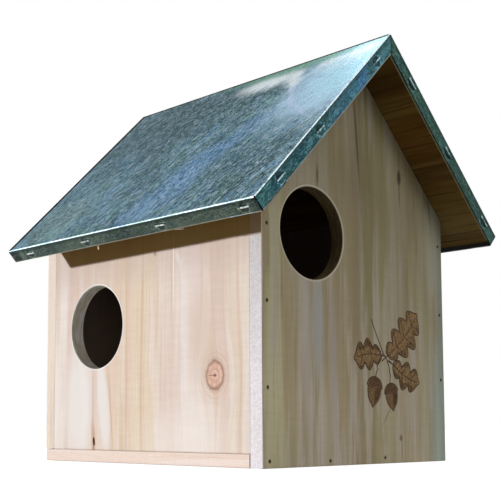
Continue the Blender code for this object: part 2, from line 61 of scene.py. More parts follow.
# Light
lit_middle = (0, 0, 0.16)
sun_travel = (1.0, -1.12, -0.18)
sun_strength = 3.45
sun_spread = math.radians(2.5)
ambient_level = 0.055
ambient_tone = (1.0, 0.93, 0.82, 1)
front_fill_from = (0.25, -1.70, 1.10)
front_fill_size = 1.3
front_fill_power = 13
sky_box_from = (0.95, 0.85, 1.80)
sky_box_size = 0.55
sky_box_power = 6
floor_size = 8.0
floor_drop = 0.0004
floor_tone = (0.50, 0.49, 0.48, 1)
floor_roughness = 0.9
floor_glow = 0.88

# Places on the house
front_face = -0.133
rear_face = 0.133
side_face = 0.110
board_thickness = 0.012
floor_thickness = 0.010
front_hole = (-0.055, 0.173)
side_hole = (0.061, 0.1125)
hole_radius = 0.035
roof_pitch = math.radians(45)
roof_front_end = -0.166
roof_rear_end = 0.135
apex_boards = 0.3310
slope_lengths = {-1: 0.212, 1: 0.200}
sheet_thickness = 0.0005
sheet_gap = 0.0003
sheet_front = roof_front_end - sheet_gap - sheet_thickness
flap_depth = 0.0112
flap_edge_depth = 0.0108
flap_top = apex_boards * math.cos(roof_pitch)
cut_line = flap_top - flap_depth

# Points this near are welded, and faces this flat to each other are joined
weld_distance = 0.00001
flat_angle = math.radians(0.5)

# On a 45 degree slope: the way down it for each metre out, and the way out for each metre down it
down_for_out = 1.414
out_for_down = 0.707

# Brads in the front panel: x and z of each
front_brads = (
    (-0.1043, 0.1744), (-0.1045, 0.1187), (-0.1042, 0.0569), (-0.1027, 0.0050),
    (-0.0378, 0.0037), (0.0280, 0.0045),
    (0.1045, 0.1809), (0.1050, 0.1224), (0.1052, 0.0677),
)
brad_sides = 16
brad_head_radius = 0.0009
brad_head_height = 0.0005
brad_rim_share = 0.3
brad_sink = 0.0004
brad_hole_radius = 0.0012
brad_hole_depth = 0.0012

# The left wall's seams and its split
seam_reach = 0.0002
edge_ease = 0.0006
split_place = (0.0632, 0.0172)
split_size = (0.0014, 0.0013, 0.0036)
split_segments = 20
split_rings = 12

# The left eave's two splinters: radius, length, place and turns of each
hanging_splinter = (0.0012, 0.0100, (-0.1404, 0.0186, 0.1745), (180, 6, 90))
eave_splinter = (0.0006, 0.0090, (-0.1412, -0.0807, 0.1722), (96, 0, 0))
splinter_tip_share = 0.55
splinter_flat_share = 0.45
splinter_sides = 7
splinter_cuts = 3
splinter_fray = 0.02
splinter_seed = 4

# The sheet as folded by hand, and where it is cut up so that it can bend
sheet_grid = 0.010
grid_margin = 0.002
dent_cuts = (-0.9, -0.6, -0.3, 0.01, 0.3, 0.6, 0.9)
flap_cuts = (0.0022, 0.0045, 0.0068, 0.0090)
fold_margin = 0.0002
face_margin = 0.0001
ripple_height = 0.0004
ripple_pace = (14, 9, 3)
fine_ripple_pace = 60
fine_ripple_share = 0.4
ripple_side_inset = 0.02
ripple_ridge_inset = 0.03
flap_flare = 0.0005
flare_pace = 22
flare_steps = (7, 5, 9)
flare_start = 0.0015
flare_run = 0.009
dent_radius = 0.0075
dent_depth = 0.00045
dent_calm = 1.6
smooth_angle = math.radians(35)

# How the sheet's faces are told apart: shares of their normals, and the ridge's reach
end_share = 0.97
slope_share = 0.12
pitch_margin = 0.06
ridge_reach = 0.002

# Where the sheet has painted shade under its bends, a pale cut edge painted as a highlight, and is darker at
# the ridge and the rear
bend_shade_reach = 0.0045
bend_round = 0.0008
cut_reach = 0.0010
cut_round = 0.0003
ridge_dark_fades = (0.0022, 0.0042)
rear_dark_grows = (roof_rear_end - 0.0060, roof_rear_end - 0.0036)

# Boards: a hole's pale rim as a share of its radius, the inner face darkened by painted shade and dirt, torn
# edges, and the slant and softness of the line where painted shade stops
rim_reach = 1.040
inner_start = 0.0002
inner_full = 0.0001
torn_soft = 0.0004
clear_slant = 1.1
clear_soft = 0.001
edge_to_edge = 9.0

# The burned drawing. Leaf: foot, turn, length, width, lobes. Acorn: place, turn, size. Twig: points, weight
leaves = (
    ((0.0330, 0.0850), -48, 0.054, 0.034, 4),
    ((0.0250, 0.0850), 96, 0.034, 0.027, 3),
    ((0.0400, 0.0780), -112, 0.037, 0.026, 3),
)
acorns = (
    ((0.0160, 0.0600), -10, 0.023),
    ((0.0370, 0.0560), 10, 0.021),
)
twigs = (
    (((0.0130, 0.1130), (0.0165, 0.1060), (0.0220, 0.0960),
      (0.0275, 0.0870), (0.0320, 0.0815), (0.0400, 0.0780)), 2.4),
    (((0.0275, 0.0870), (0.0225, 0.0800), (0.0190, 0.0750)), 1.5),
    (((0.0320, 0.0815), (0.0350, 0.0760), (0.0355, 0.0700)), 1.5),
)
stroke_radius = 0.00055
hatch_count = 30
hatch_weight = 0.42
burn_rise = 0.00030
shading_rise = 0.00008
nut_rise = 0.000096
burn_sink = 0.0004


def colour(red, green, blue):
    """A linear colour from everyday values."""
    shares = [value / 255 for value in (red, green, blue)]
    return tuple(share / 12.92 if share <= 0.04045 else ((share + 0.055) / 1.055) ** 2.4 for share in shares)


class Field:
    """A number or a colour that varies over a surface: one output of a material's nodes."""

    def __init__(self, recipe, socket):
        self.recipe = recipe
        self.socket = socket

    def __add__(self, other):
        return self.recipe.maths("ADD", self, other)

    def __sub__(self, other):
        return self.recipe.maths("SUBTRACT", self, other)

    def __rsub__(self, other):
        return self.recipe.maths("SUBTRACT", other, self)

    def __mul__(self, other):
        return self.recipe.maths("MULTIPLY", self, other)

    def __truediv__(self, other):
        return self.recipe.maths("DIVIDE", self, other)


class Recipe:
    """The nodes of one material, built up step by step."""

    def __init__(self, name):
        self.material = bpy.data.materials.new(name)
        self.material.use_nodes = True
        self.tree = self.material.node_tree
        self.shader = self.tree.nodes["Principled BSDF"]

    def feed(self, socket, value):
        if isinstance(value, Field):
            self.tree.links.new(value.socket, socket)
        elif isinstance(value, tuple) and len(value) == 3 and socket.type == "RGBA":
            socket.default_value = (*colour(*value), 1)
        else:
            socket.default_value = value

    def add(self, kind, *values, **settings):
        """A new node of this kind, with these settings, and its first inputs fed with these values."""
        made = self.tree.nodes.new("ShaderNode" + kind)
        for key, value in settings.items():
            setattr(made, key, value)
        for socket, value in zip(made.inputs, values):
            self.feed(socket, value)
        return made

    def maths(self, operation, *values):
        return Field(self, self.add("Math", *values, operation=operation).outputs[0])

    def vector(self, *parts):
        return Field(self, self.add("CombineXYZ", *parts).outputs[0])

    def attribute(self, name):
        return Field(self, self.add("Attribute", attribute_name=name).outputs["Fac"])

    def place(self, axes):
        """The point's coordinates along three of the object's axes, in this order."""
        point = Field(self, self.add("TexCoord").outputs["Object"])
        split = self.add("SeparateXYZ", point)
        return [Field(self, split.outputs[axis]) for axis in axes]

    def noise(self, vector, scale, detail=2.0, roughness=0.5, distortion=0.0):
        made = self.add("TexNoise", vector)
        self.feed(made.inputs["Scale"], scale)
        self.feed(made.inputs["Detail"], detail)
        self.feed(made.inputs["Roughness"], roughness)
        self.feed(made.inputs["Distortion"], distortion)
        return Field(self, made.outputs[0])

    def step(self, value, start, end, to_start=0.0, to_end=1.0, kind="SMOOTHSTEP"):
        """Goes from one level to another as the value goes from start to end, and stays there past both."""
        made = self.add("MapRange", value, start, end, to_start, to_end, interpolation_type=kind)
        return Field(self, made.outputs[0])

    def band(self, value, low, high, soft):
        """1 between low and high, 0 outside them."""
        return self.step(value, low - soft, low + soft) * self.step(value, high - soft, high + soft, 1.0, 0.0)

    def mix(self, share, first, second, blend="MIX"):
        made = self.add("Mix", share, data_type="RGBA", blend_type=blend)
        first_colour, second_colour = made.inputs[6:8]
        self.feed(first_colour, first)
        self.feed(second_colour, second)
        return Field(self, made.outputs[2])

    def tinted(self, base, tone):
        return self.mix(1.0, base, tone, "MULTIPLY")

    def lay(self, base, tone, field, start, end, share=1.0):
        """Lays a tone over the base, up to this share as the field goes from start to end."""
        return self.mix(self.step(field, start, end, 0.0, share), base, tone)

    def ramp(self, value, stops):
        made = self.add("ValToRGB", value)
        points = made.color_ramp.elements
        while len(points) < len(stops):
            points.new(0.5)
        for point, (position, tone) in zip(points, stops):
            point.position = position
            point.color = (*colour(*tone), 1)
        return Field(self, made.outputs[0])

    def ellipse(self, across, along, centre, size, lean=0.0):
        """Distance from a mark's centre, 1 on its outline. A lean slides it sideways as it rises."""
        rise = along - centre[1]
        side = across - centre[0]
        if lean:
            side = side - rise * lean
        side = side / size[0]
        rise = rise / size[1]
        return self.maths("SQRT", side * side + rise * rise)

    def bump(self, height, distance, strength):
        made = self.add("Bump", strength, distance)
        self.feed(made.inputs["Height"], height)
        self.feed(self.shader.inputs["Normal"], Field(self, made.outputs[0]))

    def done(self, base, roughness, metallic=0.0):
        self.feed(self.shader.inputs["Base Color"], base)
        self.feed(self.shader.inputs["Roughness"], roughness)
        self.feed(self.shader.inputs["Metallic"], metallic)
        return self.material


def draw_knot(recipe, base, place, centre, size):
    """A sound knot: rings that fade outwards, a mottled heart, a dark ring, a pith and a drying check."""
    across, along, through = place
    mottle = recipe.noise(recipe.vector(across, along, through), 260)
    edge = recipe.ellipse(across, along, centre, size) + (mottle - 0.5) * 0.35
    swirl = recipe.maths("SINE", edge * 17) * 0.5
    halo = recipe.step(edge, 1.0, 2.3, 0.55, 0.0) * (swirl + 0.6)
    base = recipe.mix(halo, base, knot_halo)
    heart = recipe.ramp(swirl + 0.5, ((0.2, knot_pale), (0.8, knot_brown)))
    heart = recipe.lay(heart, knot_red, mottle, 0.44, 0.58, 0.55)
    base = recipe.lay(base, heart, edge, 1.0, 0.90)
    base = recipe.mix(recipe.band(edge, 0.88, 1.06, 0.10) * 0.85, base, knot_ring)
    pith = recipe.ellipse(across, along, centre, (size[0] * 0.16, size[1] * 0.10))
    base = recipe.lay(base, knot_pith, pith, 1.3, 0.6, 0.9)
    check_place = (centre[0] + size[0] * 0.3, centre[1])
    check = recipe.ellipse(across, along, check_place, (size[0] * 0.55, size[1] * 0.045))
    return recipe.lay(base, knot_check, check, 1.2, 0.5, 0.7)


def pine(name, axes, tones, slide=0.0, bands=(), marks=(), knots=(), holes=(), inside=None,
         painted_shade=None, line_tone=None, line_share=0.35, streak_share=0.35, gloss=0.5, torn=None):
    """Sawn pine. The axes are the board's directions across, along and through the grain.

    A band is (low, high, colour, share, soft) across the grain. A mark is (centre, size, lean, colour, share,
    soft). A knot is (centre, size). A hole is (centre, rim colour, wall's dark and light colours). Inside is
    where the board's inner face, darkened by painted shade and dirt, begins and is full. The painted shade is
    (start, end, lean, colour, clear): the wood darkens to that share of its colour along the grain, short of
    a slanting line across the board where a cast shadow ends. Torn is (limit, dark, light): the rough-sawn
    edge up to there.
    """
    recipe = Recipe(name)
    across, along, deep = recipe.place(axes)
    through = deep + slide
    line_tone = line_tone or tones[2]
    wander = recipe.noise(recipe.vector(across, along * 0.28, through), 11)
    grain = across + (wander - 0.5) * 0.012
    for centre, size in knots:
        reach = recipe.ellipse(across, along, centre, (size[0] * 1.9, size[1] * 2.6))
        swell = recipe.maths("EXPONENT", reach * reach * -1.0)
        grain = grain - (grain - centre[0]) * (swell * 0.85)

    def strands(stretch, scale, detail, roughness):
        """Noise drawn out along the grain, where it changes at this share of its pace across."""
        return recipe.noise(recipe.vector(grain, along * stretch, through), scale, detail, roughness)

    broad = strands(0.06, 42, 2, 0.55)
    streaks = strands(0.08, 92, 3, 0.55)
    lines = strands(0.018, 300, 3, 0.6)
    flecks = strands(0.05, 1300, 2, 0.5)
    fibre = strands(0.012, 2300, 3, 0.65)
    sawn = recipe.noise(recipe.vector(across * 0.16, along, through), 330, 2, 0.6)
    base = recipe.ramp(broad, ((0.30, tones[0]), (0.48, tones[1]), (0.66, tones[2])))
    for low, high, tone, share, soft in bands:
        base = recipe.mix(recipe.band(grain, low, high, soft) * share, base, tone)
    base = recipe.lay(base, tones[2], streaks, 0.50, 0.68, streak_share)
    base = recipe.lay(base, tones[0], streaks, 0.50, 0.34, streak_share)
    base = recipe.lay(base, line_tone, lines, 0.52, 0.68, line_share)
    shade = recipe.step(fibre, 0.25, 0.75, 0.90, 1.06) * recipe.step(sawn, 0.35, 0.65, 0.975, 1.015)
    base = recipe.tinted(base, recipe.vector(shade, shade, shade))
    base = recipe.lay(base, line_tone, flecks, 0.66, 0.76, 0.22)
    for centre, size in knots:
        base = draw_knot(recipe, base, (across, along, through), centre, size)
    if torn:
        limit, dark, light = torn
        fuzz = recipe.noise(recipe.vector(across, along * 0.7, through), 860, 3, 0.75)
        frayed = recipe.mix(recipe.step(fuzz, 0.34, 0.62), dark, light)
        base = recipe.lay(base, frayed, across, limit, limit - torn_soft, 0.85)
    for centre, size, lean, tone, share, soft in marks:
        edge = recipe.ellipse(across, along, centre, size, lean)
        base = recipe.lay(base, tone, edge, 1 + soft, 1 - soft, share)
    # Painted shade: the wood darkens along the grain, short of the slanting line where a cast shadow ends
    if painted_shade:
        start, end, lean, tone, clear = painted_shade
        shade_fade = recipe.step(along + across * lean, start, end, kind="LINEAR")
        shaded = recipe.step(across - along * clear_slant, clear + clear_soft, clear - clear_soft)
        base = recipe.mix(shade_fade * shaded, base, recipe.tinted(base, tone))
    for centre, rim, dark, light in holes:
        edge = recipe.ellipse(across, along, centre, (hole_radius, hole_radius))
        base = recipe.mix(recipe.band(edge, 1.000, rim_reach, 0.008) * 0.80, base, rim)
        rings = recipe.noise(recipe.vector(deep, across * 0.10, along * 0.10), 620, 4, 0.7)
        wall = recipe.mix(recipe.step(rings, 0.42, 0.58), dark, light)
        base = recipe.lay(base, wall, edge, 1.0030, 1.0008)
    # Painted shade and dirt on the board's inner face
    if inside:
        base = recipe.lay(base, inside_dirt_and_shade, deep, *inside, 0.86)
    recipe.bump(lines * 0.6 + fibre * 0.4, 0.0004, 0.30)
    recipe.feed(recipe.shader.inputs["Specular IOR Level"], gloss)
    return recipe.done(base, recipe.step(fibre, 0.3, 0.7, 0.68, 0.86))


def galvanised(name, tones, edge_tint, sheen, size=1.0, lean=0.0, contrast=1.0, flap=False, bend_shade=0.0,
               cut_share=0.0, patches=(), painted_sheen=()):
    """Hot-dipped sheet: clouds, fine spangle and streaks down the slope, painted shade in the dents at the
    staples.

    The tones go from stain over dark, middle and light to bright. The streaks lean to the front by this share
    of their fall; on a flap they run along it. A flap has painted shade under its bend and a pale cut edge
    painted as a highlight, by these shares. Patches lie under the spangle, and the painted sheen, highlights
    and reflections over it, on the left slope: each is (place along the ridge, distance down the slope, their
    two radii, lean, colour, share).
    """
    stain, dark, middle, light, bright = tones
    recipe = Recipe(name)
    x, y, z = recipe.place("XYZ")
    out = recipe.maths("ABSOLUTE", x)
    down = out * down_for_out
    down_left = x * -down_for_out
    side = recipe.maths("SIGN", x) * 0.7
    if flap:
        across = (out + z) * out_for_down
        run = (out - z) * out_for_down + y
    else:
        across = y - down * lean
        run = down

    def clouds(stretch, scale, detail, roughness, distortion):
        """Noise drawn out along the run, where it changes at this share of its pace across."""
        return recipe.noise(recipe.vector(across, run * stretch, side), scale, detail, roughness, distortion)

    wide = clouds(0.6, 17 * size, 3, 0.6, 0.8)
    cloud = clouds(0.6, 62 * size, 4, 0.62, 0.8)
    cast = clouds(0.6, 88 * size, 3, 0.6, 0.6)
    spangle = clouds(0.70, 400 * size, 5, 0.75, 1.2)
    streak = clouds(0.26, 430 * size, 4, 0.70, 1.3)
    grit = clouds(0.8, 1200, 2, 0.6, 0.0)
    ragged = cloud * 1.2 + spangle * 0.4 - 0.8

    def spots(base, places, full, gone):
        for along, fall, radii, slant, tone, share in places:
            edge = recipe.ellipse(y, down_left, (along, fall), radii, slant) + ragged
            base = recipe.lay(base, tone, edge, gone, full, share)
        return base

    def flecks(base, layers):
        for tone, field, start, end, share in layers:
            base = recipe.lay(base, tone, field, start, end, contrast * share)
        return base

    base = recipe.ramp(wide * 0.50 + cloud * 0.50, ((0.40, dark), (0.50, middle), (0.60, light)))
    base = recipe.lay(base, recipe.tinted(base, blue_cast), cast, 0.50, 0.62, contrast)
    base = recipe.lay(base, recipe.tinted(base, green_cast), cast, 0.50, 0.38, contrast)
    base = spots(base, patches, 0.45, 1.25)
    base = flecks(base, (
        (bright, streak, 0.51, 0.64, 0.60),
        (stain, streak, 0.49, 0.36, 0.85),
        (bright, spangle, 0.53, 0.64, 0.60),
        (stain, spangle, 0.47, 0.35, 0.95),
    ))
    # Painted sheen, highlights and reflections laid over the spangle
    base = spots(base, painted_sheen, 0.35, 1.35)
    base = flecks(base, (
        (dark, streak, 0.50, 0.36, 0.25),
        (stain, grit, 0.54, 0.66, 0.40),
        (bright, grit, 0.44, 0.34, 0.40),
    ))
    dent = recipe.attribute("pressed")
    rubbed = recipe.step(spangle, 0.46, 0.58) * recipe.step(dent, 0.02, 0.25, 0.0, 0.75)
    base = recipe.mix(rubbed, base, bright)
    # Painted shade: a dark ring in each staple's dent
    base = recipe.mix(recipe.band(dent, 0.40, 0.95, 0.15) * 0.75, base, stain)
    # Painted shade under the flap's bend
    if bend_shade:
        base = recipe.lay(base, stain, across, flap_top - bend_shade_reach, flap_top - bend_round, bend_shade)
    # A pale cut edge, painted as a highlight
    if cut_share:
        base = recipe.lay(base, cut_edge_highlight, across, cut_line + cut_reach, cut_line + cut_round, cut_share)
    metallic = 1.0
    rough = recipe.step(spangle, 0.3, 0.7, sheen, sheen + 0.16)
    if not flap:
        by_ridge = recipe.step(down, *ridge_dark_fades, 1.0, 0.0)
        by_rear = recipe.step(y, *rear_dark_grows)
        darkened = recipe.maths("MAXIMUM", by_ridge, by_rear) * 0.95
        base = recipe.mix(darkened, base, ridge_rear_dark)
        metallic = 1.0 - darkened
        rough = rough + darkened * 0.6
    recipe.bump(spangle * 0.6 + streak * 0.4, 0.0003, 0.25)
    recipe.feed(recipe.shader.inputs["Specular Tint"], edge_tint)
    recipe.feed(recipe.shader.inputs["Specular IOR Level"], 0.0)
    return recipe.done(base, rough, metallic)


def zinc_steel(name, tone, dull, roughness, scale, rubbed=(224.6, 227.2, 229.8)):
    """Zinc-plated steel with faint rolling marks, rubbed brighter, and handling stains of this scale."""
    recipe = Recipe(name)
    x, y, z = recipe.place("XYZ")
    rolled = recipe.noise(recipe.vector(x, y, z * 0.08), 2600)
    stain = recipe.noise(recipe.vector(x, y, z), scale, 3, 0.6)
    base = recipe.mix(recipe.step(stain, 0.42, 0.64), tone, dull)
    base = recipe.lay(base, rubbed, rolled, 0.45, 0.75, 0.18)
    recipe.bump(rolled, 0.00008, 0.25)
    return recipe.done(base, recipe.step(stain, 0.3, 0.7, roughness, roughness + 0.2), 1.0)


def burned(name, dark, light, share):
    """Scorched wood: brown that varies along its strokes."""
    recipe = Recipe(name)
    x, y, z = recipe.place("XYZ")
    wander = recipe.noise(recipe.vector(x, y, z), 420, 3, 0.6)
    dots = recipe.noise(recipe.vector(x, y, z * 0.5), 1500)
    base = recipe.ramp(wander, ((0.35, dark), (0.65, light)))
    base = recipe.lay(base, dark, dots, 0.50, 0.62, share)
    recipe.bump(dots, 0.0002, 0.3)
    return recipe.done(base, 0.85)


def inner_face(outer, inward, thickness=board_thickness):
    """Where a board's inner face, darkened by painted shade and dirt, begins and is full, from the place of
    its outer face.
    """
    return outer + inward * (thickness - inner_start), outer + inward * (thickness - inner_full)


def dress(node, material):
    """Gives a CAD node its finish, as it stands."""
    mesh = nodes[node].data
    mesh.materials.clear()
    mesh.materials.append(material)


def choose(*objs):
    """Selects these objects only, the first of them active."""
    if bpy.context.object and bpy.context.object.mode != "OBJECT":
        bpy.ops.object.mode_set(mode="OBJECT")
    bpy.ops.object.select_all(action="DESELECT")
    for obj in objs:
        obj.select_set(True)
    bpy.context.view_layer.objects.active = objs[0]


def placed(name, data):
    """A new object of this name, linked into the scene."""
    made = bpy.data.objects.new(name, data)
    bpy.context.scene.collection.objects.link(made)
    return made


def named(obj, name):
    obj.name = name
    obj.data.name = name
    return obj


def run_on_all(piece, operator, **settings):
    """Runs a mesh operator on the whole of a piece."""
    choose(piece)
    bpy.ops.object.mode_set(mode="EDIT")
    bpy.ops.mesh.select_all(action="SELECT")
    operator(**settings)
    bpy.ops.object.mode_set(mode="OBJECT")


def weld(piece):
    run_on_all(piece, bpy.ops.mesh.remove_doubles, threshold=weld_distance)


def copy_of(node, name):
    """A CAD node's shape as one welded mesh, which then stands for it."""
    made = placed(name, nodes[node].data.copy())
    made.data.materials.clear()
    weld(made)
    run_on_all(made, bpy.ops.mesh.dissolve_limited, angle_limit=flat_angle)
    return made


def keep(piece, material, slot, *stands_for, body="house"):
    """Finishes a new piece: its material, its body and the nodes that it stands for. The slot is not used."""
    piece.data.materials.clear()
    piece.data.materials.append(material)
    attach(piece, body)
    if stands_for:
        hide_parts(*stands_for)


def applied(obj):
    """Puts an object's place into its mesh."""
    choose(obj)
    bpy.ops.object.transform_apply(location=True, rotation=True, scale=True)
    return obj


def degrees(*turns):
    return tuple(math.radians(turn) for turn in turns)


def strokes(name, lines, radius):
    """Drawn lines as thin round strokes: each line is a list of points, all in one piece."""
    curve = bpy.data.curves.new(name, "CURVE")
    curve.dimensions = "3D"
    curve.bevel_depth = radius
    curve.bevel_resolution = 1
    curve.use_fill_caps = True
    for line in lines:
        spline = curve.splines.new("POLY")
        spline.points.add(len(line) - 1)
        for point, (x, y, z, weight) in zip(spline.points, line):
            point.co = (x, y, z, 1)
            point.radius = weight
    choose(placed(name, curve))
    bpy.ops.object.convert(target="MESH")
    made = bpy.context.object
    weld(made)
    return made


def make_camera():
    """The photograph's own view, with its frame shifted up and to the right of the sight line."""
    forward = Vector((
        math.sin(camera_yaw) * math.cos(camera_pitch),
        math.cos(camera_yaw) * math.cos(camera_pitch),
        math.sin(camera_pitch),
    ))
    level = forward.cross(Vector((0, 0, 1))).normalized()
    upright = level.cross(forward)
    right = math.cos(camera_roll) * level + math.sin(camera_roll) * upright
    up = math.cos(camera_roll) * upright - math.sin(camera_roll) * level
    data = bpy.data.cameras.new("photo_view")
    data.sensor_width = sensor_width
    data.lens = focal_length_pixels * sensor_width / picture_width
    data.shift_x = (picture_width / 2 - sight_line_pixel[0]) / picture_width
    data.shift_y = (sight_line_pixel[1] - picture_width / 2) / picture_width
    data.clip_start = camera_near
    camera = placed("photo_view", data)
    turn = Matrix((right, up, -forward)).transposed().to_4x4()
    camera.matrix_world = Matrix.Translation(camera_place) @ turn
    bpy.context.scene.camera = camera


def add_lamp(name, kind, place, target, power, size):
    data = bpy.data.lights.new(name, kind)
    data.energy = power
    if kind == "SUN":
        data.angle = size
    else:
        data.shape = "DISK"
        data.size = size
    lamp = placed(name, data)
    lamp.location = place
    lamp.rotation_euler = (Vector(target) - Vector(place)).to_track_quat("-Z", "Y").to_euler()


def show_apart(tree, usual, seen, output):
    """Gives camera, glossy and transmission rays one look, and all other rays the usual one."""
    path = tree.nodes.new("ShaderNodeLightPath")
    shown = path.outputs["Is Camera Ray"]
    for other in ("Is Glossy Ray", "Is Transmission Ray"):
        most = tree.nodes.new("ShaderNodeMath")
        most.operation = "MAXIMUM"
        tree.links.new(shown, most.inputs[0])
        tree.links.new(path.outputs[other], most.inputs[1])
        shown = most.outputs[0]
    blend = tree.nodes.new("ShaderNodeMixShader")
    for socket, source in zip(blend.inputs, (shown, usual.outputs[0], seen.outputs[0])):
        tree.links.new(source, socket)
    tree.links.new(blend.outputs[0], tree.nodes[output].inputs["Surface"])


def make_studio():
    """A low sun from the left rear, a soft fill on the front, a soft box over the rear and a white room."""
    add_lamp("low_sun", "SUN", -Vector(sun_travel), (0, 0, 0), sun_strength, sun_spread)
    add_lamp("front_fill", "AREA", front_fill_from, lit_middle, front_fill_power, front_fill_size)
    add_lamp("sky_box", "AREA", sky_box_from, lit_middle, sky_box_power, sky_box_size)
    world = bpy.data.worlds.new("white_room")
    world.use_nodes = True
    bpy.context.scene.world = world
    tree = world.node_tree
    ambient = tree.nodes["Background"]
    ambient.inputs["Color"].default_value = ambient_tone
    ambient.inputs["Strength"].default_value = ambient_level
    white = tree.nodes.new("ShaderNodeBackground")
    white.inputs["Color"].default_value = (1, 1, 1, 1)
    show_apart(tree, ambient, white, "World Output")
    bpy.ops.object.select_all(action="DESELECT")
    bpy.ops.mesh.primitive_plane_add(size=floor_size, location=(0, 0, -floor_drop))
    floor = bpy.context.object
    floor.name = "studio_floor"
    material = bpy.data.materials.new("pale_floor")
    material.use_nodes = True
    tree = material.node_tree
    pale = tree.nodes["Principled BSDF"]
    pale.inputs["Base Color"].default_value = floor_tone
    pale.inputs["Roughness"].default_value = floor_roughness
    glow = tree.nodes.new("ShaderNodeEmission")
    glow.inputs["Strength"].default_value = floor_glow
    lifted = tree.nodes.new("ShaderNodeAddShader")
    tree.links.new(glow.outputs[0], lifted.inputs[0])
    tree.links.new(pale.outputs[0], lifted.inputs[1])
    show_apart(tree, pale, lifted, "Material Output")
    floor.data.materials.append(material)


# Boards' tones, the inside's painted shade and dirt among them
# Painted shade and dirt: the dark inner faces of the closed box
inside_dirt_and_shade = (84, 64, 46)
lilac_white = (244, 234, 230)
pale_peach = (233, 213, 196)
warm_tan = (224, 200, 172)
rosy = (226, 202, 190)
orange_line = (212, 168, 132)
olive_pine = (203, 190, 156)
lilac_pine = (214, 203, 186)
brown_pine = (184, 166, 130)
green_pine = (196, 190, 150)
edge_white = (240, 234, 236)
dark_knot = (70, 48, 34)
nail_stain = (58, 50, 42)
knot_halo = (206, 170, 142)
knot_pale = (228, 192, 172)
knot_brown = (214, 172, 150)
knot_red = (204, 152, 130)
knot_ring = (138, 92, 76)
knot_pith = (92, 44, 30)
knot_check = (120, 66, 48)

front_pine = pine(
    "front_pine", "XZY", (lilac_pine, olive_pine, brown_pine), 0.31,
    bands=(
        (-0.112, -0.1094, edge_white, 0.95, 0.0002),
        (-0.106, -0.086, (216, 210, 168), 0.80, 0.003),
        (-0.088, -0.071, brown_pine, 0.45, 0.003),
        (-0.071, -0.044, lilac_pine, 0.85, 0.004),
        (-0.044, -0.015, brown_pine, 0.35, 0.005),
        (-0.012, 0.003, (160, 138, 106), 0.60, 0.004),
        (0.003, 0.031, (180, 168, 124), 0.70, 0.004),
        (0.000, 0.016, (150, 138, 90), 0.50, 0.003),
        (0.026, 0.042, (182, 170, 116), 0.45, 0.004),
        (0.045, 0.060, brown_pine, 0.40, 0.003),
        (0.077, 0.094, green_pine, 0.50, 0.003),
        (0.0955, 0.1030, lilac_pine, 0.65, 0.002),
        (0.101, 0.112, (164, 182, 166), 0.75, 0.002),
    ),
    marks=[
        ((x, z), (0.0013, 0.0016), 0.0, nail_stain, 0.75, 0.4) for x, z in front_brads
    ] + [
        ((-0.0500, 0.106), (0.0060, 0.038), 0.0, (194, 200, 200), 0.60, 0.7),
        ((-0.0625, 0.090), (0.0045, 0.060), 0.0, (214, 206, 200), 0.55, 0.7),
        ((-0.0330, 0.070), (0.0050, 0.060), 0.0, (200, 190, 184), 0.50, 0.7),
        ((0.0521, 0.2322), (0.0024, 0.0060), 0.0, (44, 28, 18), 0.95, 0.40),
        ((0.0521, 0.2200), (0.0011, 0.0120), 0.0, (124, 98, 66), 0.60, 0.6),
        ((0.0521, 0.2430), (0.0013, 0.0100), 0.0, (134, 108, 76), 0.45, 0.6),
        ((0.0915, 0.2195), (0.0019, 0.0240), -0.16, (84, 50, 28), 0.95, 0.5),
        ((0.0862, 0.2260), (0.0010, 0.0170), -0.16, (104, 70, 42), 0.80, 0.6),
        ((-0.0022, 0.2580), (0.0012, 0.0330), -0.08, (92, 66, 42), 0.85, 0.6),
        ((-0.0490, 0.2180), (0.0012, 0.0075), 0.0, (100, 74, 46), 0.70, 0.6),
        ((0.0488, 0.0196), (0.0020, 0.0024), 0.0, (120, 92, 62), 0.80, 0.5),
        ((0.0496, 0.0100), (0.0004, 0.0070), 0.0, dark_knot, 0.70, 0.5),
        ((0.0316, 0.0379), (0.00035, 0.0082), 0.76, dark_knot, 0.85, 0.5),
        ((0.0985, 0.0100), (0.0085, 0.0800), 0.0, (178, 204, 202), 0.48, 0.7),
        # Painted shadow: brown on the panel's left edge, where the eave's shadow falls on it
        ((-0.1110, 0.1812), (0.0022, 0.0165), 0.0, (214, 180, 132), 0.92, 0.10),
        ((0.0960, 0.1850), (0.0130, 0.0400), 0.0, (222, 222, 206), 0.50, 0.7),
    ],
    # Painted shade: the entrance's wall inside the hole is dark brown, far darker than the board's wood
    holes=((front_hole, (214, 206, 186), (58, 44, 16), (96, 78, 40)),),
    inside=inner_face(front_face, 1),
    # Painted shade: the front darkens towards the top and the right, under the roof's overhang
    painted_shade=(0.02, 0.22, 0.35, (184, 184, 174), 1.0),
    torn=(-0.1096, (220, 212, 220), (248, 243, 248)),
    line_tone=(146, 126, 92), line_share=0.26, streak_share=0.90,
)
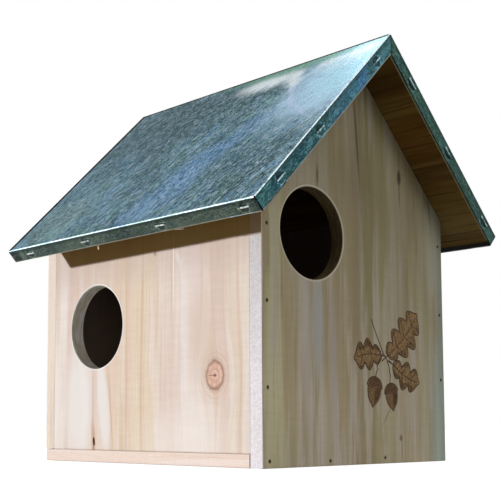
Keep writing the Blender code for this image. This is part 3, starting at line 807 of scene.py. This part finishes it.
left_pine = pine(
    "left_pine", "YZX", (lilac_white, pale_peach, rosy), 0.83,
    bands=(
        (0.104, 0.116, (246, 236, 226), 0.80, 0.002),
        (-0.026, 0.046, (234, 208, 176), 0.45, 0.012),
        (0.018, 0.027, warm_tan, 0.70, 0.003),
        (-0.010, 0.010, (232, 214, 184), 0.65, 0.004),
        (-0.001, 0.0018, orange_line, 0.55, 0.0010),
        (-0.036, -0.016, (236, 220, 210), 0.70, 0.004),
        (-0.073, -0.040, lilac_white, 0.55, 0.006),
        (-0.107, -0.097, (230, 214, 190), 0.60, 0.002),
        (-0.1120, -0.1085, orange_line, 0.35, 0.0008),
        (-0.1330, -0.1130, (234, 222, 208), 0.80, 0.001),
    ),
    marks=(
        # Painted shade: a soft darker band along the top of the wall, under the eave
        ((0.0, 0.1780), (edge_to_edge, 0.0270), 0.0, (202, 178, 164), 0.58, 0.7),
        ((-0.0680, 0.0980), (0.0120, 0.0340), 0.0, (214, 184, 162), 0.50, 0.8),
        ((-0.0500, 0.0160), (0.0450, 0.0240), 0.0, (247, 238, 231), 0.50, 0.7),
        ((0.1260, 0.0450), (0.0130, 0.0650), 0.0, (248, 243, 240), 0.70, 0.5),
        ((-0.0430, 0.1590), (0.0026, 0.0050), 0.3, (246, 240, 236), 0.40, 0.7),
        ((-0.0465, 0.1530), (0.0010, 0.0040), -0.3, (246, 240, 236), 0.35, 0.7),
        ((0.0205, 0.100), (0.0006, 0.090), 0.0, orange_line, 0.50, 0.5),
        ((-0.0378, 0.150), (0.0006, 0.030), 0.0, (250, 246, 240), 0.80, 0.5),
        ((0.0650, 0.043), (0.0016, 0.0330), 0.0, (206, 178, 160), 0.85, 0.55),
        ((0.0642, 0.0215), (0.0024, 0.0120), 0.10, (196, 150, 112), 0.85, 0.6),
        ((0.0632, 0.0170), (0.0014, 0.0034), 0.25, (54, 26, 18), 1.00, 0.25),
        ((0.0641, 0.0120), (0.0005, 0.0030), 0.0, (90, 56, 38), 0.90, 0.4),
        ((0.0409, 0.044), (0.0008, 0.034), 0.115, orange_line, 0.70, 0.5),
        ((0.0850, 0.050), (0.0180, 0.050), 0.0, (242, 238, 236), 0.75, 0.5),
        ((0.0500, 0.045), (0.0070, 0.036), 0.115, (242, 238, 236), 0.75, 0.3),
    ),
    knots=(((-0.0846, 0.0669), (0.0094, 0.0108)),),
    holes=((side_hole, (252, 249, 246), (228, 218, 194), (255, 255, 252)),),
    inside=inner_face(-side_face, 1),
    # Painted shadow: the wall browns just under the eave, inside the eave's cast shadow and short of its rear
    # end
    painted_shade=(0.1663, 0.1683, 0.0, (214, 190, 116), -0.0855),
    line_tone=(210, 176, 150), line_share=0.32, streak_share=0.45,
)
rear_pine = pine("rear_pine", "XZY", (pale_peach, warm_tan, (214, 180, 146)), 1.7,
                 knots=(((0.046, 0.118), (0.0085, 0.0100)), ((-0.071, 0.196), (0.0050, 0.0060))),
                 bands=(
                     (0.108, 0.112, (228, 196, 160), 0.6, 0.001),
                     (-0.112, -0.1085, (244, 229, 214), 0.9, 0.0006),
                 ),
                 inside=inner_face(rear_face, -1), line_tone=(206, 164, 126))
right_pine = pine("right_pine", "YZX", (lilac_white, pale_peach, warm_tan), 2.9,
                  knots=(((0.098, 0.150), (0.0055, 0.0070)),), inside=inner_face(side_face, -1),
                  line_tone=(212, 174, 142))
door_pine = pine("door_pine", "YZX", (pale_peach, warm_tan, (218, 186, 152)), 4.1,
                 knots=(((-0.022, 0.071), (0.0062, 0.0078)),), line_tone=(208, 168, 132))
floor_pine = pine("floor_pine", "XYZ", ((252, 242, 238), (250, 232, 224), (243, 222, 208)), 5.3,
                  inside=inner_face(0, 1, floor_thickness), line_tone=(222, 184, 160))
strip_pine = pine("strip_pine", "YZX", (pale_peach, warm_tan, (214, 182, 148)), 6.7)
splinter_pine = pine("splinter_pine", "XYZ", ((255, 250, 240), (250, 240, 222), (240, 222, 196)), 8.3)
roof_pine = pine("roof_pine", "XYZ", ((134, 110, 56), (110, 84, 36), (84, 60, 22)), 7.9,
                 bands=(
                     (0.040, 0.066, (124, 84, 34), 0.55, 0.010),
                     (0.072, 0.082, (70, 44, 18), 0.60, 0.006),
                     (0.104, 0.128, (140, 120, 76), 0.60, 0.008),
                 ),
                 marks=(
                     ((0.0, roof_front_end), (0.3, 0.0006), 0.0, (150, 148, 124), 0.85, 0.4),
                     # Painted shade: near black along the right board's lower edge, where the flap's shadowed
                     # inside shows
                     ((0.1348, 0.0), (0.0052, edge_to_edge), 0.0, (7, 6, 8), 0.97, 0.12),
                     # Painted highlight: a pale line along the left board's eave edge, where sunlit wood
                     # shows under the flap
                     ((-0.1416, 0.0), (0.0009, edge_to_edge), 0.0, (176, 162, 134), 0.85, 0.4),
                     # Painted shadow: near black at the front of the left eave, in the slit between the flaps
                     ((-0.1460, roof_front_end), (0.0100, 0.0018), 0.0, (7, 6, 8), 0.97, 0.3),
                 ),
                 line_tone=(66, 40, 14), line_share=0.70, streak_share=0.60, gloss=0.12)

dress("right_wall", right_pine)
dress("clean_out_door", door_pine)
dress("floor_board", floor_pine)
dress("door_stop_strip", strip_pine)
dress("left_roof_board", roof_pine)
dress("right_roof_board", roof_pine)

# The sheet's tones, painted highlights among them
ridge_rear_dark = (14, 16, 12)
# Painted highlight at the flaps' cut edges
cut_edge_highlight = (160, 154, 138)
# Painted glint: near white where the sky shows in the sheet
painted_glint_white = (252, 255, 255)
blue_cast = (198, 232, 255)
green_cast = (236, 255, 222)
slope_metal = galvanised(
    "slope_metal",
    ((18, 28, 26), (62, 80, 76), (102, 128, 138), (136, 170, 192), (212, 230, 240)),
    (173, 188, 196), 0.24, lean=0.35,
    patches=(
        (0.070, 0.060, (0.110, 0.060), 0.0, (52, 70, 64), 0.75),
        (0.010, 0.024, (0.130, 0.030), 0.0, (46, 66, 60), 0.85),
        (0.090, 0.178, (0.045, 0.036), 0.0, (136, 158, 150), 0.60),
        (-0.040, 0.185, (0.032, 0.034), 0.45, (122, 160, 202), 0.80),
        (-0.056, 0.140, (0.026, 0.034), 0.45, (112, 154, 200), 0.80),
        (-0.084, 0.100, (0.024, 0.030), 0.45, (112, 150, 192), 0.65),
        (-0.030, 0.042, (0.024, 0.018), 0.0, (58, 84, 72), 0.70),
        (-0.075, 0.045, (0.016, 0.014), 0.0, (64, 92, 78), 0.70),
        (-0.110, 0.150, (0.040, 0.030), 0.0, (78, 104, 112), 0.60),
    ),
    # Painted sheen and glints near the front of the ridge, and a painted green reflection along it
    painted_sheen=(
        (-0.142, 0.048, (0.056, 0.072), 0.0, (206, 232, 254), 0.88),
        (-0.152, 0.040, (0.040, 0.050), 0.0, (190, 232, 244), 0.75),
        (-0.098, 0.054, (0.004, 0.032), -0.55, (216, 226, 252), 0.60),
        (-0.129, 0.092, (0.004, 0.020), -1.10, (212, 222, 250), 0.55),
        (-0.130, 0.030, (0.034, 0.008), 0.0, (224, 240, 248), 0.45),
        (-0.048, 0.021, (0.036, 0.014), 0.0, painted_glint_white, 0.97),
        (-0.084, 0.028, (0.010, 0.020), -0.4, painted_glint_white, 0.85),
        (-0.146, 0.0160, (0.016, 0.010), 0.0, painted_glint_white, 0.75),
        (-0.118, 0.0180, (0.014, 0.008), 0.0, painted_glint_white, 0.65),
        (-0.070, 0.006, (0.085, 0.010), 0.0, (134, 180, 146), 0.70),
    ),
)
eave_metal = galvanised(
    "eave_metal",
    ((14, 22, 20), (36, 46, 40), (54, 67, 60), (71, 85, 77), (124, 138, 132)),
    (231, 243, 243), 0.30, 2.0, contrast=0.65, flap=True, bend_shade=0.60, cut_share=0.60,
    patches=(
        (0.1330, 0.212, (0.020, 0.300), 0.0, (10, 16, 18), 0.88),
        (0.1190, 0.212, (0.004, 0.300), 0.0, (106, 122, 112), 0.60),
        (0.030, 0.212, (0.040, 0.300), 0.0, (88, 100, 88), 0.45),
        # Painted shadow: near black at the eave flap's front end, in the slit next to the rake flap
        (sheet_front, 0.212, (0.0040, 0.300), 0.0, (8, 12, 14), 0.95),
        (-0.110, 0.212, (0.040, 0.300), 0.0, (76, 88, 76), 0.45),
    ),
)
rake_metal = galvanised(
    "rake_metal",
    ((14, 38, 40), (30, 62, 64), (46, 82, 88), (58, 98, 108), (104, 148, 162)),
    (231, 243, 243), 0.26, 1.0, contrast=0.7, flap=True, bend_shade=0.40, cut_share=0.45,
    patches=(
        (roof_front_end, 0.0500, (0.050, 0.009), 0.0, (62, 106, 158), 0.55),
        (roof_front_end, 0.0880, (0.050, 0.018), 0.0, (52, 84, 108), 0.45),
    ),
)
right_rake_metal = galvanised(
    "right_rake_metal",
    ((10, 26, 22), (24, 50, 42), (36, 66, 58), (50, 82, 74), (96, 130, 122)),
    (231, 243, 243), 0.26, 1.0, contrast=0.8, flap=True, bend_shade=0.40,
)
# The bends' lit copy, bright with wear and painted highlight; the shaded copy below is painted shade
bend_metal = galvanised(
    "bend_metal",
    ((72, 84, 88), (114, 130, 138), (142, 160, 170), (166, 184, 194), (200, 214, 220)),
    (255, 255, 255), 0.44, contrast=0.6, flap=True,
    # Painted highlight along the front rake's bend
    patches=((sheet_front, 0.0, (0.005, edge_to_edge), 0.0, (226, 242, 246), 0.95),),
)
shaded_bend_metal = galvanised(
    "shaded_bend_metal",
    ((8, 12, 12), (16, 22, 22), (22, 30, 30), (32, 42, 42), (60, 72, 72)),
    (170, 170, 170), 0.46, contrast=0.6, flap=True,
)
hinge_steel = zinc_steel("hinge_steel", (158, 160, 158), (134, 135, 132), 0.30, 130)
staple_steel = zinc_steel("staple_steel", (216, 224, 220), (62, 78, 82), 0.30, 330)
rake_staple_steel = zinc_steel("rake_staple_steel", (150, 178, 180), (44, 66, 72), 0.36, 330)
brad_steel = zinc_steel("brad_steel", (50, 45, 38), (30, 26, 21), 0.50, 900, rubbed=(78, 72, 62))
for node in nodes:
    if "staple" in node:
        dress(node, staple_steel if "eave" in node else rake_staple_steel)
    elif any(word in node for word in ("hinge", "screw", "washer", "turn_button", "hanger")):
        dress(node, hinge_steel)


def add_peg(radius, depth, x, y, z):
    """A short round peg through the front's plane."""
    bpy.ops.object.select_all(action="DESELECT")
    bpy.ops.mesh.primitive_cylinder_add(vertices=brad_sides, radius=radius, depth=depth,
                                        location=(x, y, z), rotation=degrees(90, 0, 0))
    return bpy.context.object


def cut_with(board, cutters):
    """Cuts these shapes out of a board and clears them away."""
    choose(*cutters)
    bpy.ops.object.join()
    cutter = named(bpy.context.object, "cutter")
    choose(board)
    modifier = board.modifiers.new("cut_out", "BOOLEAN")
    modifier.operation = "DIFFERENCE"
    modifier.solver = "EXACT"
    modifier.object = cutter
    bpy.ops.object.modifier_apply(modifier=modifier.name)
    bpy.data.objects.remove(cutter)


def add_brad(name, x, z):
    """A brad's head, sunk a little below the face, with a rounded rim."""
    deep = front_face + brad_sink + brad_head_height / 2
    head = named(add_peg(brad_head_radius, brad_head_height, x, deep, z), name)
    modifier = head.modifiers.new("round_rim", "BEVEL")
    modifier.width = brad_head_height * brad_rim_share
    modifier.segments = 2
    modifier.limit_method = "ANGLE"
    bpy.ops.object.modifier_apply(modifier=modifier.name)
    keep(applied(head), brad_steel, "zinc_steel")


def draw_out(board, axis, sign, reach, eased=0.0):
    """Draws one end of a board out towards its neighbour, so that their seam shows as a hairline.

    The end's eased edges, this wide, are squared at the same time.
    """
    end = max(sign * vertex.co[axis] for vertex in board.data.vertices)
    choose(board)
    bpy.ops.object.mode_set(mode="EDIT")
    bpy.ops.mesh.select_mode(type="VERT")
    bpy.ops.mesh.select_all(action="DESELECT")
    bpy.ops.object.mode_set(mode="OBJECT")
    for vertex in board.data.vertices:
        vertex.select = sign * vertex.co[axis] > end - eased - weld_distance
    bpy.ops.object.mode_set(mode="EDIT")
    flat = [1, 1, 1]
    flat[axis] = 0
    plane = [0, 0, 0]
    plane[axis] = sign * (end + reach)
    bpy.ops.transform.resize(value=flat, center_override=plane)
    bpy.ops.object.mode_set(mode="OBJECT")


def make_front_board():
    """The front panel with its brads, square at its left end, where the left wall meets it."""
    board = copy_of("front_panel", "front_board")
    cutters = [
        applied(add_peg(brad_hole_radius, 2 * brad_hole_depth, x, front_face, z)) for x, z in front_brads
    ]
    draw_out(board, 0, -1, 0.0, edge_ease)
    cut_with(board, cutters)
    keep(board, front_pine, "panel_pine", "front_panel")
    for number, (x, z) in enumerate(front_brads, 1):
        add_brad(f"front_brad_{number}", x, z)


def make_left_board():
    """The left wall with its hairline seams and the split of a lost knot under the side entrance."""
    board = copy_of("left_wall", "left_board")
    draw_out(board, 1, -1, seam_reach, edge_ease)
    draw_out(board, 1, 1, seam_reach, edge_ease)
    draw_out(board, 2, -1, seam_reach)
    bpy.ops.object.select_all(action="DESELECT")
    bpy.ops.mesh.primitive_uv_sphere_add(segments=split_segments, ring_count=split_rings, radius=1,
                                         location=(-side_face, *split_place), scale=split_size)
    cut_with(board, [applied(bpy.context.object)])
    keep(board, left_pine, "wall_pine", "left_wall")


def make_rear_board():
    """The rear panel, square at its left end, where it meets the left wall without a groove."""
    board = copy_of("rear_panel", "rear_board")
    draw_out(board, 0, -1, 0.0, edge_ease)
    keep(board, rear_pine, "wall_pine", "rear_panel")


def add_splinter(name, radius, length, place, turns):
    """A torn sliver of wood at the left eave: a ragged cone, thinner one way."""
    bpy.ops.object.select_all(action="DESELECT")
    bpy.ops.mesh.primitive_cone_add(vertices=splinter_sides, radius1=radius,
                                    radius2=radius * splinter_tip_share, depth=length,
                                    location=place, rotation=degrees(*turns),
                                    scale=(1, splinter_flat_share, 1))
    splinter = named(applied(bpy.context.object), name)
    run_on_all(splinter, bpy.ops.mesh.subdivide, number_cuts=splinter_cuts, fractal=splinter_fray,
               seed=splinter_seed)
    keep(splinter, splinter_pine, "roof_pine")


def on_slope(side, along, depth):
    """(x, z) on one slope: so far down it from the boards' apex, and so deep below their outer face."""
    across = along * math.cos(roof_pitch) - depth * math.sin(roof_pitch)
    down = along * math.sin(roof_pitch) + depth * math.cos(roof_pitch)
    return side * across, apex_boards - down


def slope_place(x, z):
    """The side, the distance down the slope and the depth of a point, the other way round."""
    side = -1 if x < 0 else 1
    down = apex_boards - z
    along = abs(x) * math.cos(roof_pitch) + down * math.sin(roof_pitch)
    depth = down * math.cos(roof_pitch) - abs(x) * math.sin(roof_pitch)
    return side, along, depth


def slope_directions(side):
    """Out of a slope and down it."""
    out = Vector((side * math.sin(roof_pitch), 0, math.cos(roof_pitch)))
    down = Vector((side * math.cos(roof_pitch), 0, -math.sin(roof_pitch)))
    return out, down


def ease(share):
    """A smooth step from 0 to 1."""
    share = min(max(share, 0.0), 1.0)
    return share * share * (3 - 2 * share)


def slice_mesh(place, direction):
    bpy.ops.mesh.select_all(action="SELECT")
    bpy.ops.mesh.bisect(plane_co=place, plane_no=direction)


def staple_centres():
    """The middle of each staple's box, with whether it is on an eave."""
    found = []
    for node in nodes:
        if "staple" in node:
            low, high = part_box(node)
            found.append(((low + high) / 2, "eave" in node))
    return found


def grid_lines(length, centres):
    """Places for cuts: evenly spaced, and close together round each staple."""
    places = [sheet_grid * number for number in range(1, int(length / sheet_grid) + 1)]
    for centre in centres:
        places = [place for place in places if abs(place - centre) > dent_radius]
        places += [centre + share * dent_radius for share in dent_cuts]
    return [place for place in places if grid_margin < place < length - grid_margin]


def bend_sheet(place, staples):
    """Where a point of the folded sheet really lies, and how far a staple pressed it in, from 0 to 1."""
    side, along, depth = slope_place(place.x, place.z)
    length = slope_lengths[side]
    out, down = slope_directions(side)
    end = -1 if place.y < 0 else 1
    end_gap = abs(place.y - (roof_front_end if end < 0 else roof_rear_end))
    on_end = place.y < roof_front_end - fold_margin or place.y > roof_rear_end + fold_margin
    on_eave = along > length + fold_margin
    if depth < face_margin and not on_end and not on_eave:
        side_gap = min(length - along, end_gap)
        inset = min(along / ripple_ridge_inset, side_gap / ripple_side_inset)
        lengthways, downways, sideways = ripple_pace
        broad = noise.noise(Vector((place.y * lengthways, along * downways, side * sideways)))
        ripple = broad + fine_ripple_share * noise.noise(place * fine_ripple_pace)
        return place + out * (ripple_height * ease(inset) * (0.5 + 0.5 * ripple)), 0.0
    if depth < flare_start:
        return place.copy(), 0.0
    outward = down if on_eave else Vector((0, end, 0))
    run = place.y if on_eave else along
    side_step, end_step, eave_step = flare_steps
    flap = end_step * end + eave_step * on_eave
    wave = 0.5 + 0.5 * noise.noise(Vector((run * flare_pace, side_step * side, flap)))
    flare = ease((depth - flare_start) / flare_run) * flap_flare * wave
    pressed = 0.0
    for centre, eave in staples:
        if eave == on_eave:
            near = place - centre
            near -= near.dot(outward) * outward
            share = near.length / dent_radius
            flare *= ease(share / dent_calm)
            if share < 1:
                pressed = max(pressed, (1 - share * share) ** 2)
    return place + outward * (flare - dent_depth * pressed), pressed


def face_kind(face):
    """Which of the sheet's finishes a face has.

    0 is for a slope and 1 for an eave's flap. 2 and 4 are for the left and right rake flaps, and 3 and 5 for
    bends and cut edges: bright with wear and painted highlight, and dark with painted shade.
    """
    side, along, depth = slope_place(face.center.x, face.center.z)
    right = 2 if side > 0 else 0
    on_eave = along > slope_lengths[side] + fold_margin
    endways = abs(face.normal.y)
    if depth > flap_edge_depth:
        return 3 if on_eave else 5
    if face.center.y > roof_rear_end and endways < end_share:
        return 5
    if endways > end_share:
        return 2 + right
    pitched = abs(abs(face.normal.z) - math.cos(roof_pitch)) < pitch_margin
    if endways < slope_share and (pitched or along < ridge_reach):
        return 1 if on_eave else 0
    return 3 + right


def make_metal():
    """The folded sheet with its ripples, its dents at the staples, and its bends: bright with wear and
    painted highlight on the left, dark with painted shade on the right and at the rear.
    """
    sheet = copy_of("roof_sheet", "folded_sheet")
    staples = staple_centres()
    run = roof_rear_end - roof_front_end
    eaves = [centre.y - roof_front_end for centre, eave in staples if eave and centre.x < 0]
    bpy.ops.object.mode_set(mode="EDIT")
    for place in grid_lines(run, eaves):
        slice_mesh((0, roof_front_end + place, 0), (0, 1, 0))
    for side, length in slope_lengths.items():
        out, down = slope_directions(side)
        rakes = [
            slope_place(centre.x, centre.z)[1]
            for centre, eave in staples
            if not eave and centre.x * side > 0 and centre.y < 0
        ]
        for place in grid_lines(length, rakes):
            x, z = on_slope(side, place, 0)
            slice_mesh((x, 0, z), down)
        for depth in flap_cuts:
            x, z = on_slope(side, 0, depth)
            slice_mesh((x, 0, z), out)
    bpy.ops.object.mode_set(mode="OBJECT")
    kinds = [face_kind(face) for face in sheet.data.polygons]
    pressed = sheet.data.attributes.new("pressed", "FLOAT", "POINT")
    for vertex, mark in zip(sheet.data.vertices, pressed.data):
        vertex.co, mark.value = bend_sheet(vertex.co, staples)
    keep(sheet, slope_metal, "galvanised_sheet", "roof_sheet")
    for metal in (eave_metal, rake_metal, bend_metal, right_rake_metal, shaded_bend_metal):
        sheet.data.materials.append(metal)
    for face, kind in zip(sheet.data.polygons, kinds):
        face.material_index = kind
    choose(sheet)
    bpy.ops.object.shade_smooth_by_angle(angle=smooth_angle)


def turned_about(centre, turn):
    """Gives points of the drawing from their places beside and above a motif's own centre line."""
    cosine, sine = math.cos(math.radians(turn)), math.sin(math.radians(turn))

    def point(across, rise):
        return centre[0] + across * cosine - rise * sine, centre[1] + across * sine + rise * cosine

    return point


def leaf_drawing(foot, turn, length, width, lobes):
    """An oak leaf: its closed outline, and its lines as (points, weight)."""
    point = turned_about(foot, turn)

    def reach(share):
        swell = math.sin(math.pi * (0.06 + 0.94 * share)) ** 0.62 * (0.72 + 0.42 * share)
        lobe = abs(math.sin(math.pi * (lobes * share + 0.12)))
        return width / 2 * swell * (0.42 + 0.58 * lobe ** 0.8)

    def beside(share, out=0.0):
        """A point at this share of the length, so far out from the leaf's bent spine."""
        return point(0.06 * length * math.sin(math.pi * share) + out, share * length)

    shares = [step / 96 for step in range(97)]
    left = [beside(share, -reach(share)) for share in shares]
    right = [beside(share, reach(share)) for share in shares]
    outline = left + right[::-1][1:-1]
    spine = [beside(share) for share in (-0.16, -0.08, 0, *shares[4:92:6])]
    lines = [(outline + outline[:1], 1.0), (spine, 1.1)]
    for side in (-1, 1):
        for lobe in range(lobes):
            start = (lobe + 0.06) / lobes
            tip = min((lobe + 0.42) / lobes, 0.97)
            vein = []
            for step in range(6):
                out = reach(tip) * 0.86 * (step / 5) ** 0.9
                vein.append(beside(start + (tip - start) * step / 5, side * out))
            lines.append((vein, 0.7))
        inner, outer = (0.50, 0.94) if side > 0 else (0.74, 0.95)
        for step in range(hatch_count):
            share = 0.06 + 0.88 * step / hatch_count
            hatch = []
            for part in (inner, (inner + outer) / 2, outer):
                later = min(share + 0.05 * part, 0.98)
                hatch.append(beside(later, side * reach(later) * part))
            lines.append((hatch, hatch_weight))
    return outline, lines


def acorn_drawing(centre, turn, size):
    """An acorn hanging from a short stalk, with a scaled cup and a shaded nut: its outline and its lines."""
    point = turned_about(centre, turn)
    half = size * 0.36
    rim = half * 1.14
    angles = [math.pi * step / 24 for step in range(25)]
    nut = []
    for angle in angles:
        tip = 1 + 0.16 * math.exp(-((angle - math.pi / 2) / 0.16) ** 2)
        nut.append(point(half * math.cos(angle), -size * 0.62 * math.sin(angle) * tip))
    cup = [point(-rim * math.cos(angle), size * 0.34 * math.sin(angle)) for angle in angles]
    lip = [point(rim * (1 - step / 8), -size * 0.05 * math.sin(math.pi * step / 16)) for step in range(17)]
    stalk = [point(0.10 * size * share * share, size * (0.33 + 0.34 * share)) for share in (0, 0.3, 0.6, 1)]
    lines = [(nut, 1.0), (cup, 1.1), (lip, 0.9), (stalk, 1.3)]
    for row in range(1, 6):
        level = size * 0.34 * row / 6.2
        span = rim * math.sqrt(max(1 - (row / 6.2) ** 2, 0))
        lines.append(([point(span * (step / 4 - 1), level) for step in range(9)], hatch_weight))
    for column in range(-5, 6):
        lean = half * column / 5.6
        top = size * 0.33 * math.sqrt(max(1 - (column / 5.8) ** 2, 0))
        lines.append(([point(lean, 0), point(lean * 0.86, top)], hatch_weight))
    for column in range(7):
        across = half * (0.20 + 0.11 * column)
        drop = size * 0.58 * math.sqrt(max(1 - (across / half) ** 2, 0))
        shade = []
        for step in range(5):
            shade.append(point(across * (1 - 0.12 * step / 4), -drop * (0.12 + 0.84 * step / 4)))
        lines.append((shade, hatch_weight))
    return nut + cup, lines


def flat_shapes(name, outlines, low, high):
    """Filled outlines in the front's plane, as one thin piece from one depth to another."""
    curve = bpy.data.curves.new(name, "CURVE")
    curve.dimensions = "2D"
    curve.fill_mode = "BOTH"
    curve.extrude = (high - low) / 2
    for outline in outlines:
        spline = curve.splines.new("POLY")
        spline.points.add(len(outline) - 1)
        for point, (x, z) in zip(spline.points, outline):
            point.co = (x, z, 0, 1)
        spline.use_cyclic_u = True
    choose(placed(name, curve))
    bpy.ops.object.convert(target="MESH")
    made = bpy.context.object
    made.rotation_euler.x = math.radians(90)
    made.location.y = (low + high) / 2
    weld(applied(made))
    run_on_all(made, bpy.ops.mesh.normals_make_consistent, inside=False)
    return made


def make_burned_drawing():
    """A sprig of oak burned into the front: a twig, three leaves and two acorns."""
    drawn_leaves = [leaf_drawing(*leaf) for leaf in leaves]
    drawn_acorns = [acorn_drawing(*acorn) for acorn in acorns]
    filled = (
        ("burned_shading", drawn_leaves, shading_rise, (110, 80, 44), (164, 136, 92), 0.55),
        ("burned_nuts", drawn_acorns, nut_rise, (92, 64, 34), (146, 114, 72), 0.6),
    )
    for name, motifs, rise, dark, light, share in filled:
        outlines = [outline for outline, lines in motifs]
        shading = flat_shapes(name, outlines, front_face - rise, front_face + burn_sink)
        keep(shading, burned(name, dark, light, share), "panel_pine")
    drawn = list(twigs)
    for outline, lines in drawn_leaves + drawn_acorns:
        drawn += lines
    strokes_in_place = []
    for points, weight in drawn:
        depth = front_face + stroke_radius * weight - burn_rise
        strokes_in_place.append([(x, depth, z, weight) for x, z in points])
    drawing = strokes("burned_lines", strokes_in_place, stroke_radius)
    keep(drawing, burned("burned_lines", (34, 18, 8), (78, 48, 24), 0.5), "panel_pine")


make_camera()
make_studio()
make_front_board()
make_left_board()
make_rear_board()
add_splinter("hanging_splinter", *hanging_splinter)
add_splinter("eave_splinter", *eave_splinter)
make_metal()
make_burned_drawing()

bpy.context.scene.view_settings.view_transform = "Standard"
